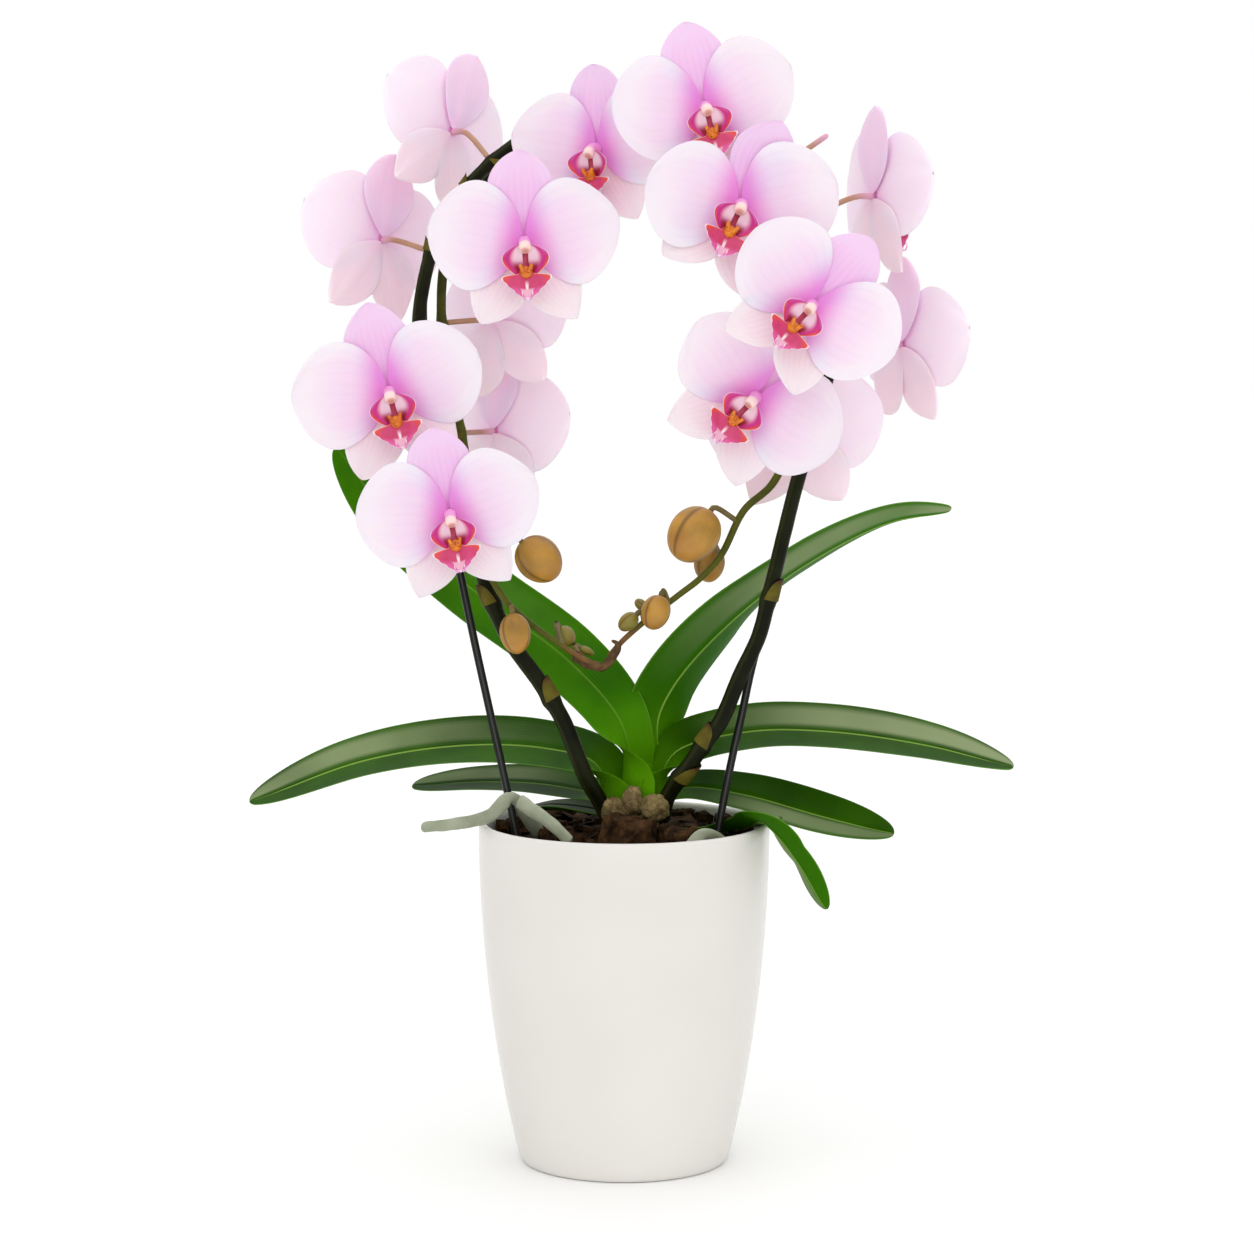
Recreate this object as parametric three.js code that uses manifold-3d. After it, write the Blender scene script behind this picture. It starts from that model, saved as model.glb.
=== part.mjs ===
// A potted moth orchid in millimetres, +Z up. The origin is the centre of the pot's underside.
// Two flower spikes are trained round a wire hoop, each up its own side and down the other.
import * as THREE from 'three';
import { ParametricGeometry } from 'three/addons/geometries/ParametricGeometry.js';
import { mergeVertices } from 'three/addons/utils/BufferGeometryUtils.js';
import Module from 'manifold-3d';

const wasm = await Module();
wasm.setup();

// ---- Driving dimensions -------------------------------------------------------------------

const CLEARANCE = 0.3; // between pieces that touch

const POT_HEIGHT = 165;
const RIM_RADIUS = 70;
const BASE_RADIUS = 50;
const POT_WALL = 4.5;
const POT_FLOOR = 9;
const POT_SEGMENTS = 32;

const RIM_ABOVE_BARK = 9;
const BARK_LEVEL = POT_HEIGHT - RIM_ABOVE_BARK;

// Everything that grows is placed from the middle of the bark's surface.
const HOOP_RADIUS = 97; // of the round top of the hoop
const HOOP_CENTRE = 249; // above the bark
const HOOP_WIRE = 1.9; // radius of the wire
const HOOP_DEPTH = 13; // how far the round top stands behind the pot's middle
const HOOP_BURIED = 56; // how deep the legs reach into the bark

const PETAL_LENGTH = 45;
const PETAL_HALF_WIDTH = 25;
const SEPAL_LENGTH = 42;
const SEPAL_HALF_WIDTH = 13.5;
const TEPAL_THICKNESS = 1.5;
const TEPAL_FOOT = 3; // from the flower's middle to where a petal or sepal starts
const FLOWER_HEART = 5; // radius of the flower's middle
const HEART_DEPTH = 2.6; // half its thickness
const PEDICEL_RADIUS = 1.35;

const LEAF_THICKNESS = 2;
const CROWN_HEIGHT = 56;
const CROWN_HALF_WIDTH = 13;
const CROWN_PLACE = new THREE.Vector3(6, 8, 0);

// ---- Solids -------------------------------------------------------------------------------

// A closed three.js geometry as a solid whose faces point out.
function solidFrom(geometry) {
  const bare = geometry.index ? geometry.toNonIndexed() : geometry.clone();
  bare.deleteAttribute('normal');
  bare.deleteAttribute('uv');
  const merged = mergeVertices(bare, 1e-4);
  const corners = [];
  for (let i = 0; i < merged.index.count; i += 3) {
    const [a, b, c] = [0, 1, 2].map((k) => merged.index.getX(i + k));
    if (a !== b && b !== c && c !== a) {
      corners.push(a, b, c);
    }
  }
  const made = manifoldOf(merged.attributes.position.array, corners);
  return made.volume() > 0 ? made : manifoldOf(merged.attributes.position.array, corners.reverse());
}

function manifoldOf(positions, corners) {
  return new wasm.Manifold(
    new wasm.Mesh({ numProp: 3, vertProperties: positions, triVerts: new Uint32Array(corners) }),
  );
}

function joined(solids) {
  return solids.reduce((whole, next) => whole.add(next));
}

// A piece cut back wherever it would touch its neighbours.
function carved(solid, neighbours) {
  const cut = neighbours.reduce((left, next) => left.subtract(next), solid);
  return cut.decompose().reduce((best, piece) => (piece.volume() > best.volume() ? piece : best));
}

function meshOf(name, solid, material) {
  const { vertProperties, triVerts } = solid.getMesh();
  const geometry = new THREE.BufferGeometry();
  geometry.setAttribute('position', new THREE.BufferAttribute(vertProperties, 3));
  geometry.setIndex(new THREE.BufferAttribute(triVerts, 1));
  geometry.computeVertexNormals();
  const mesh = new THREE.Mesh(geometry, material);
  mesh.name = name;
  return mesh;
}

function vec([x, y, z]) {
  return new THREE.Vector3(x, y, z);
}

function through(points) {
  return new THREE.CatmullRomCurve3(points.map(vec));
}

// ---- Shapes -------------------------------------------------------------------------------

// A thin closed blade. place(t, s, h) gives the point t of the way along, s from edge to edge
// (-1 to 1) and h through its thickness (-1 to 1); it closes to a point at both ends.
function blade(place, steps, sides = 6) {
  return new ParametricGeometry(
    (u, v, target) => {
      const turn = 2 * Math.PI * u;
      const t = (1 - Math.cos(Math.PI * v)) / 2;
      target.copy(place(t, Math.cos(turn), Math.sin(turn)));
    },
    sides,
    steps,
  );
}

// A stem whose radius changes along its curve, with flat ends.
function stem(curve, radiusAt, steps, sides, extra = 0) {
  const frames = curve.computeFrenetFrames(steps);
  return new ParametricGeometry(
    (u, v, target) => {
      const ring = Math.round(v * (steps + 2)) - 1;
      const at = Math.min(Math.max(ring, 0), steps);
      const closed = ring < 0 || ring > steps;
      const radius = closed ? 0 : radiusAt(at / steps) + extra;
      const turn = 2 * Math.PI * u;
      target
        .copy(curve.getPointAt(at / steps))
        .addScaledVector(frames.normals[at], radius * Math.cos(turn))
        .addScaledVector(frames.binormals[at], radius * Math.sin(turn));
    },
    sides,
    steps + 2,
  );
}

// A round wire or stalk of one thickness.
function wire(curve, radius, steps, sides) {
  const section = new THREE.Shape();
  for (let i = 0; i < sides; i += 1) {
    const turn = (2 * Math.PI * i) / sides;
    section[i ? 'lineTo' : 'moveTo'](radius * Math.cos(turn), radius * Math.sin(turn));
  }
  return new THREE.ExtrudeGeometry(section, { steps, extrudePath: curve, curveSegments: 1 });
}

function lathe(profile, segments) {
  const turned = new THREE.LatheGeometry(
    profile.map(([r, z]) => new THREE.Vector2(r, z)),
    segments,
  );
  return turned.rotateX(Math.PI / 2);
}

function ball(radii, centre, around = 8, down = 6) {
  const round = new THREE.SphereGeometry(1, around, down);
  return round.scale(...radii).translate(...centre);
}

function nearestOn(curve, point) {
  const points = curve.getSpacedPoints(240);
  return points.reduce((best, next) =>
    next.distanceToSquared(point) < best.distanceToSquared(point) ? next : best,
  );
}

// A place beside the hoop's round top: how far outside the wire, the angle up from its right
// end, and how far back.
function byHoop(outside, degrees, depth) {
  const turn = THREE.MathUtils.degToRad(degrees);
  const reach = HOOP_RADIUS + outside;
  return [reach * Math.cos(turn), depth, HOOP_CENTRE + reach * Math.sin(turn)];
}

// A place by the pot's rim: how far outside it, the angle round from the right, and how high.
function byRim(outside, degrees, above) {
  const turn = THREE.MathUtils.degToRad(degrees);
  const reach = RIM_RADIUS + outside;
  return [reach * Math.cos(turn), reach * Math.sin(turn), RIM_ABOVE_BARK + above];
}

// ---- Materials ----------------------------------------------------------------------------

function matte(color, roughness) {
  return new THREE.MeshStandardMaterial({ color, roughness, metalness: 0 });
}

const glaze = () => matte(0xece8e2, 0.25);
const bark = () => matte(0x3a2418, 0.95);
const leafGreen = () => matte(0x2f6e14, 0.35);
const crownGreen = () => matte(0x7fae1e, 0.45);
const rootGrey = () => matte(0xaab496, 0.8);
const stemGreen = () => matte(0x2a3018, 0.5);
const blackWire = () => matte(0x141414, 0.45);
const petalPink = () => matte(0xf4def0, 0.6);
const lipMagenta = () => matte(0xb82a6a, 0.5);
const budOchre = () => matte(0xc49a48, 0.6);

// ---- Pot and bark -------------------------------------------------------------------------

// The pot's outer wall: it leaves the foot steeply and straightens towards the rim.
function outerRadius(height) {
  const rise = height / POT_HEIGHT;
  return BASE_RADIUS + (RIM_RADIUS - BASE_RADIUS) * Math.sin((Math.PI / 2) * rise ** 0.86);
}

function innerRadius(height) {
  return outerRadius(height) - POT_WALL;
}

function potSolid() {
  const rim = POT_WALL / 2;
  const heights = [0.06, 0.2, 0.4, 0.62, 0.84].map((part) => part * POT_HEIGHT);
  const outside = heights.map((z) => [outerRadius(z), z]);
  const inside = heights.slice(1).map((z) => [innerRadius(z), z]);
  const profile = [
    [0, 0],
    [BASE_RADIUS - 1, 0],
    ...outside,
    [RIM_RADIUS, POT_HEIGHT - rim],
    [RIM_RADIUS - rim, POT_HEIGHT],
    [RIM_RADIUS - POT_WALL, POT_HEIGHT - rim],
    ...inside.reverse(),
    [innerRadius(POT_FLOOR), POT_FLOOR],
    [0, POT_FLOOR],
  ];
  return solidFrom(lathe(profile, POT_SEGMENTS));
}

// The bark fills the pot to just under the rim. `extra` grows it for the pieces that rest on it.
function barkSolid(extra = 0) {
  const floor = POT_FLOOR + CLEARANCE;
  const heights = [0.2, 0.4, 0.62, 0.84].map((part) => part * POT_HEIGHT);
  const wall = [floor, ...heights].map((z) => [innerRadius(z) - CLEARANCE, z]);
  const profile = [
    [0, floor],
    ...wall,
    [innerRadius(BARK_LEVEL) - CLEARANCE * 2, BARK_LEVEL + extra],
    [0, BARK_LEVEL + extra],
  ];
  return solidFrom(lathe(profile, POT_SEGMENTS)).translate([0, 0, -BARK_LEVEL]);
}

// Loose lumps of bark lying on the bed: centre, half sizes and turn.
const CHIPS = [
  { at: [1, -30, 3], half: [10, 8, 6], turn: 20 },
  { at: [24, -26, 2.5], half: [13, 8, 5], turn: -15 },
  { at: [-30, -12, 2], half: [10, 7, 4], turn: 35 },
];

function chipSolid({ at, half, turn }, neighbours) {
  const lump = new THREE.DodecahedronGeometry(1, 0);
  lump.scale(...half);
  lump.rotateZ(THREE.MathUtils.degToRad(turn));
  lump.translate(...at);
  return carved(solidFrom(lump), neighbours);
}

// ---- Crown, knobs and roots ---------------------------------------------------------------

function crownSolid(extra = 0) {
  const profile = [
    [0, 0],
    [0.6, 0],
    [0.8, 0.2],
    [1, 0.42],
    [0.95, 0.64],
    [0.62, 0.86],
    [0, 1],
  ].map(([r, z]) => [
    r && r * CROWN_HALF_WIDTH + extra,
    CLEARANCE * (z === 0 && extra === 0) + z * CROWN_HEIGHT + (z === 1 ? extra : 0),
  ]);
  const shape = lathe(profile, 10).scale(1, 0.72, 1);
  return solidFrom(shape.translate(CROWN_PLACE.x, CROWN_PLACE.y, 0));
}

const KNOBS = [
  { at: [-3, -5.5, 19], half: [4, 4.5, 5] },
  { at: [4.5, -5, 22], half: [4.2, 4.5, 7] },
  { at: [13, -5, 19], half: [6, 5, 6] },
  { at: [5, -5, 9], half: [11, 5, 9] },
];

function knobsSolid(neighbours) {
  const lumps = KNOBS.map(({ at, half }) => solidFrom(ball(half, at, 7, 5)));
  return carved(joined(lumps), neighbours);
}

const ROOT_RADIUS = 2.8;

const ROOTS = {
  aerial_root_outer: () => [
    [-40, -4, 2],
    [-47, -12, 14],
    [-54, -19, 23],
    byRim(-2, -159, 6.5),
    byRim(16, -157, 4),
    byRim(33, -158, 3),
  ],
  aerial_root_inner: () => [
    [-50, -27, 23],
    [-45, -30, 20],
    [-33, -34, 12],
    [-23, -37, 1.4],
  ],
  aerial_root_right: () => [
    [31, -40, 2],
    [37, -38, 8],
    [44, -34, 6],
    [48, -30, 2],
  ],
};

function rootSolid(name, neighbours, extra = 0) {
  const curve = through(ROOTS[name]());
  const radiusAt = (t) => ROOT_RADIUS * (1 - 0.45 * t * t);
  return carved(solidFrom(stem(curve, radiusAt, 9, 6, extra)), neighbours);
}

// ---- Leaves -------------------------------------------------------------------------------

// Each leaf runs along its points. `half` is half its width, `tilt` turns its face towards the
// front, in degrees, at the foot and at the tip.
const LEAVES = {
  leaf_left_long: {
    path: () => [[4, 10, 28], [-12, 13, 36], [-40, 17, 43], [-80, 18, 44], [-128, 11, 37], [-180, 0, 18]],
    half: 24,
    tilt: [26, 14],
  },
  leaf_left_low: {
    path: () => [[2, 11, 17], [-18, 18, 21], [-42, 26, 24], [-72, 31, 24], [-104, 33, 21]],
    half: 19,
    tilt: [14, 10],
  },
  leaf_left_under: {
    path: () => [[-2, 10, 9], [-18, 14, 13], [-36, 18, 14], [-50, 22, 11]],
    half: 11,
    tilt: [6, 0],
  },
  leaf_left_up: {
    path: () => [
      [7, 10, 38],
      [-7, 15, 61],
      [-32, 26, 86],
      [-72, 40, 116],
      [-112, 51, 149],
      [-142, 58, 186],
    ],
    half: 20,
    tilt: [44, 38],
  },
  leaf_right_up: {
    path: () => [[8, 10, 42], [22, 17, 72], [51, 29, 105], [88, 41, 132], [130, 49, 152], [161, 53, 156]],
    half: 22,
    tilt: [-43, -18],
  },
  leaf_right_long: {
    path: () => [[8, 10, 30], [26, 13, 44], [60, 16, 51], [98, 18, 51], [146, 11, 45], [187, 0, 35]],
    half: 24,
    tilt: [26, 13],
  },
  leaf_right_low: {
    path: () => [[10, 9, 18], [30, 11, 24], byRim(-11.5, 8, 12), [94, 0, 12], [129, -10, 4]],
    half: 18,
    tilt: [22, 24],
  },
  leaf_right_droop: {
    path: () => [
      [24, 4, 4],
      [44, 3, 5],
      [59, -10, 9.5],
      byRim(3, -24, 6),
      byRim(20, -25, -10),
      byRim(37, -27, -34),
    ],
    half: 11,
    tilt: [-10, -40],
  },
};

function leafHalfWidth(t, half) {
  const middle = Math.abs(2 * t ** 1.15 - 1);
  return half * Math.sqrt(1 - middle ** 2.4);
}

function leafSolid({ path, half, tilt }, neighbours) {
  const curve = through(path());
  const place = (t, s, h) => {
    const along = curve.getTangentAt(t);
    const turn = THREE.MathUtils.degToRad(THREE.MathUtils.lerp(tilt[0], tilt[1], t));
    const face = new THREE.Vector3(0, -Math.sin(turn), Math.cos(turn));
    const across = new THREE.Vector3().crossVectors(face, along).normalize();
    const up = new THREE.Vector3().crossVectors(along, across);
    const width = leafHalfWidth(t, half);
    const channel = 0.16 * width * (s * s - 0.4);
    return curve
      .getPointAt(t)
      .addScaledVector(across, s * width)
      .addScaledVector(up, channel + (h * LEAF_THICKNESS) / 2);
  };
  return carved(solidFrom(blade(place, 9)), neighbours);
}

// ---- Support hoop and spikes --------------------------------------------------------------

function hoopCurve() {
  return through([
    [-41, -16, -HOOP_BURIED],
    [-52, -16, 8],
    [-71, -16, 98],
    [-79, -9, 135],
    [-86, 1, 164],
    [-93, 8, 196],
    byHoop(0, 190, HOOP_DEPTH),
    byHoop(0, 165, HOOP_DEPTH),
    byHoop(0, 140, HOOP_DEPTH),
    byHoop(0, 115, HOOP_DEPTH),
    byHoop(0, 90, HOOP_DEPTH),
    byHoop(0, 65, HOOP_DEPTH - 3),
    byHoop(0, 40, HOOP_DEPTH - 14),
    byHoop(0, 15, HOOP_DEPTH - 19),
    byHoop(0, -10, HOOP_DEPTH - 19),
    [90, -5, 198],
    [80, -5, 160],
    [70, -4, 118],
    [61, -6, 84],
    [56, -12, 62],
    [50, -16, 35],
    [45, -16, 8],
    [34, -16, -HOOP_BURIED],
  ]);
}

function hoopSolid(extra = 0) {
  return solidFrom(wire(hoopCurve(), HOOP_WIRE + extra, 44, 5));
}

// The spikes are thick at the crown, thinner past the top and thin at the tip.
const SPIKES = {
  spike_left: {
    radii: [4, 3.6, 2.8, 2.2, 1.3],
    path: () => [
      [-2, -10, 9],
      [-8, -13, 19],
      [-17, -16, 32],
      [-29, -18, 60],
      [-39, -18, 77],
      [-54, -16, 98],
      [-64, -14, 120],
      [-69, -12, 138],
      [-80, -8, 164],
      byHoop(9, -151, -4),
      byHoop(4, -167, -2),
      byHoop(2, 178, -2),
      byHoop(4, 155, -2),
      byHoop(3, 140, -2),
      byHoop(3, 115, -2),
      byHoop(4, 90, -2),
      byHoop(3, 66, -6),
      byHoop(1, 44, -16),
      byHoop(-3, 22, -22),
      byHoop(-7, 0, -22),
      byHoop(-5, -20, -18),
      [71, -10, 173],
      [57, -5, 159],
      [46, -2, 137],
      [36, -2, 126],
      [27, -2, 119],
      [9, -2, 105],
      [-1, -2, 96],
      [-8, -2, 88],
    ],
  },
  spike_right: {
    radii: [4, 3.4, 2.8, 2.2, 1.3],
    path: () => [
      [13, -11, 9],
      [17, -13, 20],
      [22, -15, 28],
      [29, -17, 37],
      [38, -18, 49],
      [46, -18, 60],
      [55, -16, 81],
      [64, -14, 100],
      [69, -14, 120],
      [76, -15, 150],
      [82, -15, 174],
      byHoop(6, -30, -15),
      byHoop(2, -14, -14),
      byHoop(1, 8, -14),
      byHoop(1, 30, -11),
      byHoop(0, 55, -3),
      byHoop(-1, 80, 4),
      byHoop(-2, 105, 6),
      byHoop(-5, 134, 6),
      byHoop(-6, 155, 6),
      byHoop(-10, 178, 6),
      byHoop(-11, -165, 4),
      [-74, -2, 178],
      [-70, -12, 155],
      [-65, -22, 134],
      [-56, -24, 118],
      [-44, -18, 106],
      [-30, -10, 95],
      [-20, -5, 88],
      [-13, -3, 84],
    ],
  },
};

function spikeSolid(name, neighbours, extra = 0) {
  const { radii, path } = SPIKES[name];
  const radiusAt = (t) => {
    const place = t * (radii.length - 1);
    const from = Math.min(Math.floor(place), radii.length - 2);
    return THREE.MathUtils.lerp(radii[from], radii[from + 1], place - from);
  };
  return carved(solidFrom(stem(through(path()), radiusAt, 38, 6, extra)), neighbours);
}

// ---- Flowers ------------------------------------------------------------------------------

// Each flower's middle, the way it faces round from the front (positive to the right), how far
// it nods up, how far its top leans to its own left, its size, and the spike that carries it.
const FLOWERS = [
  { at: () => byHoop(6, 69, -60), faces: 2, nods: 6, leans: 13, size: 0.95, spike: 'spike_left' },
  { at: () => byHoop(-17, 99, -28), faces: -25, nods: 0, leans: 3, size: 0.92, spike: 'spike_left' },
  { at: () => byHoop(-23, 45, -74), faces: 5, nods: 1, leans: -26, size: 0.99, spike: 'spike_left' },
  { at: () => byHoop(-39, 142, -46), faces: 2, nods: 0, leans: 3, size: 1, spike: 'spike_left' },
  { at: () => byHoop(-13, 5, -88), faces: 3, nods: 1, leans: -43, size: 0.96, spike: 'spike_left' },
  { at: () => byHoop(-28, -30, -64), faces: -6, nods: -4, leans: -44, size: 0.98, spike: 'spike_left' },
  { at: () => byHoop(16, -163, -46), faces: 2, nods: 0, leans: 14, size: 1, spike: 'spike_left' },
  { at: () => byHoop(22, -132, -64), faces: 3, nods: -4, leans: 11, size: 0.96, spike: 'spike_left' },
  { at: () => byHoop(25, 133, 26), faces: -134, nods: 0, leans: 25, size: 0.95, spike: 'spike_left' },
  { at: () => byHoop(26, 162, 26), faces: -138, nods: 0, leans: 12, size: 0.98, spike: 'spike_left' },
  { at: () => byHoop(-36, 180, 20), faces: 140, nods: 0, leans: -12, size: 0.95, spike: 'spike_right' },
  { at: () => byHoop(-14, -139, 40), faces: 140, nods: 0, leans: 0, size: 0.95, spike: 'spike_right' },
  { at: () => byHoop(36, 26, 10), faces: 113, nods: 0, leans: 0, size: 1, spike: 'spike_right' },
  { at: () => byHoop(37, -5, 10), faces: 121, nods: 2, leans: 2, size: 0.97, spike: 'spike_right' },
  { at: () => byHoop(0, -33, 14), faces: 176, nods: 0, leans: -3, size: 0.98, spike: 'spike_right' },
];

// The flower's own frame: x to its right as it is looked at, y up and z out of its face.
function flowerFrame({ at, faces, nods, leans, size }) {
  const turned = new THREE.Matrix4().makeRotationZ(THREE.MathUtils.degToRad(faces));
  const nodded = new THREE.Matrix4().makeRotationX(THREE.MathUtils.degToRad(90 - nods));
  const leaned = new THREE.Matrix4().makeRotationZ(THREE.MathUtils.degToRad(leans));
  const placed = new THREE.Matrix4().makeTranslation(vec(at()));
  return placed
    .multiply(turned)
    .multiply(nodded)
    .multiply(leaned)
    .scale(new THREE.Vector3(size, size, size));
}

// Petals and sepals: the way each points, its length, half width, how far it sits behind the
// petals and how far its tip curves forward.
const TEPALS = [
  { points: 90, length: SEPAL_LENGTH, half: SEPAL_HALF_WIDTH, behind: 1.7, cups: 1 },
  { points: 238, length: SEPAL_LENGTH, half: SEPAL_HALF_WIDTH, behind: 1.7, cups: 4 },
  { points: 302, length: SEPAL_LENGTH, half: SEPAL_HALF_WIDTH, behind: 1.7, cups: 4 },
  { points: 13, length: PETAL_LENGTH, half: PETAL_HALF_WIDTH, behind: 0, cups: 7 },
  { points: 167, length: PETAL_LENGTH, half: PETAL_HALF_WIDTH, behind: 0, cups: 7 },
];

function tepalSolid({ points, length, half, behind, cups }) {
  const place = (t, s, h) => {
    const width = half * Math.sin(Math.PI * t ** 1.15) ** 0.72;
    const forward = cups * t * t + 0.9 * s * s * t - behind;
    const along = TEPAL_FOOT + (length - TEPAL_FOOT) * t;
    return new THREE.Vector3(along, s * width, forward + (h * TEPAL_THICKNESS) / 2);
  };
  const shape = blade(place, 6, 4);
  return solidFrom(shape.rotateZ(THREE.MathUtils.degToRad(points)));
}

function heartSolid() {
  const disc = new THREE.CylinderGeometry(FLOWER_HEART, FLOWER_HEART, 2 * HEART_DEPTH, 6);
  return solidFrom(disc.rotateX(Math.PI / 2));
}

function flowerFace() {
  return joined([heartSolid(), ...TEPALS.map(tepalSolid)]);
}

// The lip stands off the heart: a column, a callus, two upright side lobes and a pointed front lobe.
function lipSolid() {
  const column = ball([3.4, 8.2, 4.9], [0, -3.6, HEART_DEPTH + CLEARANCE + 4.9], 6, 4);
  const callus = ball([3.6, 3.2, 4], [0, -12, 7.5], 6, 4);
  const sideLobe = (side) => {
    const lobe = blade(
      (t, s, h) => {
        const swell = Math.sin(Math.PI * t) ** 0.7;
        return new THREE.Vector3(
          side * (1.5 + (5 + 4.4 * s) * swell - 0.25 * h),
          -14.5 + 13 * t,
          8 + 1.5 * t + 1.9 * s * swell + 0.6 * h,
        );
      },
      4,
      4,
    );
    return solidFrom(lobe);
  };
  const frontLobe = blade(
    (t, s, h) =>
      new THREE.Vector3(
        s * (4 + 8 * (1 - t)) * Math.sin(Math.PI * t ** 0.8) ** 0.8,
        -12 - 14 * t,
        8 + 5 * t + 0.8 * h,
      ),
    5,
    4,
  );
  return joined([
    solidFrom(column),
    solidFrom(callus),
    sideLobe(-1),
    sideLobe(1),
    solidFrom(frontLobe),
  ]);
}

// The stalk leaves the back of the flower and bends to the nearest point of its spike.
function pedicelSolid(frame, spikeCurve) {
  const behind = (distance) => new THREE.Vector3(0, 0, -distance).applyMatrix4(frame);
  const joint = nearestOn(spikeCurve, behind(12));
  const curve = new THREE.CatmullRomCurve3([behind(0), behind(10), joint]);
  return solidFrom(wire(curve, PEDICEL_RADIUS, 5, 5));
}

// ---- Buds ---------------------------------------------------------------------------------

// Each bud's middle, the way its tip points, its half length and half width, and its spike.
const BUDS = [
  { at: [-40, -22, 137], tip: [0.7, 0.1, -0.7], half: [12, 10.6], spike: 'spike_right' },
  { at: [-51, -33, 104], tip: [0.15, -0.2, -1], half: [8, 7.2], spike: 'spike_right' },
  { at: [-28, 3, 98], tip: [0.5, 0, -0.7], half: [5.2, 4.6], spike: 'spike_right' },
  { at: [-18, 3, 91], tip: [0.8, 0.2, -0.4], half: [4, 2], spike: 'spike_right' },
  { at: [33, -14, 148], tip: [-0.6, -0.3, -0.8], half: [14, 12.4], spike: 'spike_left' },
  { at: [41, 12, 132], tip: [-0.1, 0.2, -1], half: [9, 7.6], spike: 'spike_left' },
  { at: [15, -13, 111], tip: [-0.3, -0.2, -0.9], half: [8, 7], spike: 'spike_left' },
  { at: [2, -8, 106], tip: [-0.7, -0.1, -0.6], half: [5.4, 4.2], spike: 'spike_left' },
  { at: [8, 6, 113], tip: [-0.5, 0.4, 0.4], half: [3.6, 2.6], spike: 'spike_left' },
];

function budSolid({ at, tip, half }, spikeCurve, neighbours) {
  const towards = vec(tip).normalize();
  const turn = new THREE.Quaternion().setFromUnitVectors(new THREE.Vector3(0, 0, 1), towards);
  const body = new THREE.SphereGeometry(1, 7, 5).rotateX(Math.PI / 2);
  body.scale(half[1], half[1], half[0]).applyQuaternion(turn).translate(...at);
  const foot = vec(at).addScaledVector(towards, -half[0] + 0.8);
  const bend = vec(at).addScaledVector(towards, -half[0] - 2.5);
  const joint = nearestOn(spikeCurve, bend);
  const stalk = wire(new THREE.CatmullRomCurve3([foot, bend, joint]), PEDICEL_RADIUS, 4, 5);
  return carved(joined([solidFrom(body), solidFrom(stalk)]), neighbours);
}

// ---- The plant in its pot -----------------------------------------------------------------

const plant = new THREE.Group();
plant.position.z = BARK_LEVEL;

function buildPlant() {
  const bed = barkSolid(CLEARANCE);
  const crown = crownSolid(CLEARANCE);
  const hoop = hoopSolid(CLEARANCE);
  const curves = {};
  const spikes = {};
  for (const name of Object.keys(SPIKES)) {
    curves[name] = through(SPIKES[name].path());
    spikes[name] = spikeSolid(name, [], CLEARANCE);
    plant.add(meshOf(name, spikeSolid(name, [bed, crown]), stemGreen()));
  }
  plant.add(meshOf('support_hoop', hoopSolid(), blackWire()));
  plant.add(meshOf('bark_bed', barkSolid().subtract(hoop), bark()));
  plant.add(meshOf('crown', crownSolid(), crownGreen()));
  const stems = [...Object.values(spikes), crown, bed];
  plant.add(meshOf('root_knobs', knobsSolid(stems), bark()));
  const knobs = KNOBS.map(({ at, half }) =>
    solidFrom(ball(half.map((size) => size + CLEARANCE), at, 7, 5)),
  );
  CHIPS.forEach((chip, index) => {
    const solid = chipSolid(chip, [...stems, ...knobs]);
    plant.add(meshOf(`bark_chip_${index + 1}`, solid, bark()));
  });
  const outerRoot = rootSolid('aerial_root_outer', [], CLEARANCE);
  const rootNeighbours = { aerial_root_outer: [], aerial_root_inner: [outerRoot], aerial_root_right: [] };
  for (const [name, others] of Object.entries(rootNeighbours)) {
    plant.add(meshOf(name, rootSolid(name, [bed, hoop, ...others]), rootGrey()));
  }
  for (const [name, leaf] of Object.entries(LEAVES)) {
    plant.add(meshOf(name, leafSolid(leaf, [crown, bed]), leafGreen()));
  }
  FLOWERS.forEach((flower, index) => {
    const number = String(index + 1).padStart(2, '0');
    const frame = flowerFrame(flower);
    const stalk = pedicelSolid(frame, curves[flower.spike]);
    const face = flowerFace().transform(frame.elements);
    const whole = carved(face.add(stalk), [spikes[flower.spike]]);
    plant.add(meshOf(`flower_${number}`, whole, petalPink()));
    plant.add(meshOf(`lip_${number}`, lipSolid().transform(frame.elements), lipMagenta()));
  });
  BUDS.forEach((bud, index) => {
    const solid = budSolid(bud, curves[bud.spike], [spikes[bud.spike]]);
    plant.add(meshOf(`bud_${index + 1}`, solid, budOchre()));
  });
}

buildPlant();

const orchid = new THREE.Group();
orchid.add(meshOf('pot', potSolid(), glaze()));
orchid.add(plant);

export default orchid;
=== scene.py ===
# %% [markdown]
# # A potted orchid
#
# A moth orchid in a white glazed pot: two tall flower spikes led round a wire hoop, fifteen open flowers,
# nine buds, eight leaves and a few aerial roots on a bed of bark.
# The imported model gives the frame: every piece below is made in its place and stands for one of its nodes.
# Lengths are written in millimetres, because that is how a grower would measure the plant, and `MM` turns
# them into Blender's metres when a piece is finished.

import math
import random

import bmesh
import bpy
from mathutils import Matrix, Vector, noise


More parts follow.
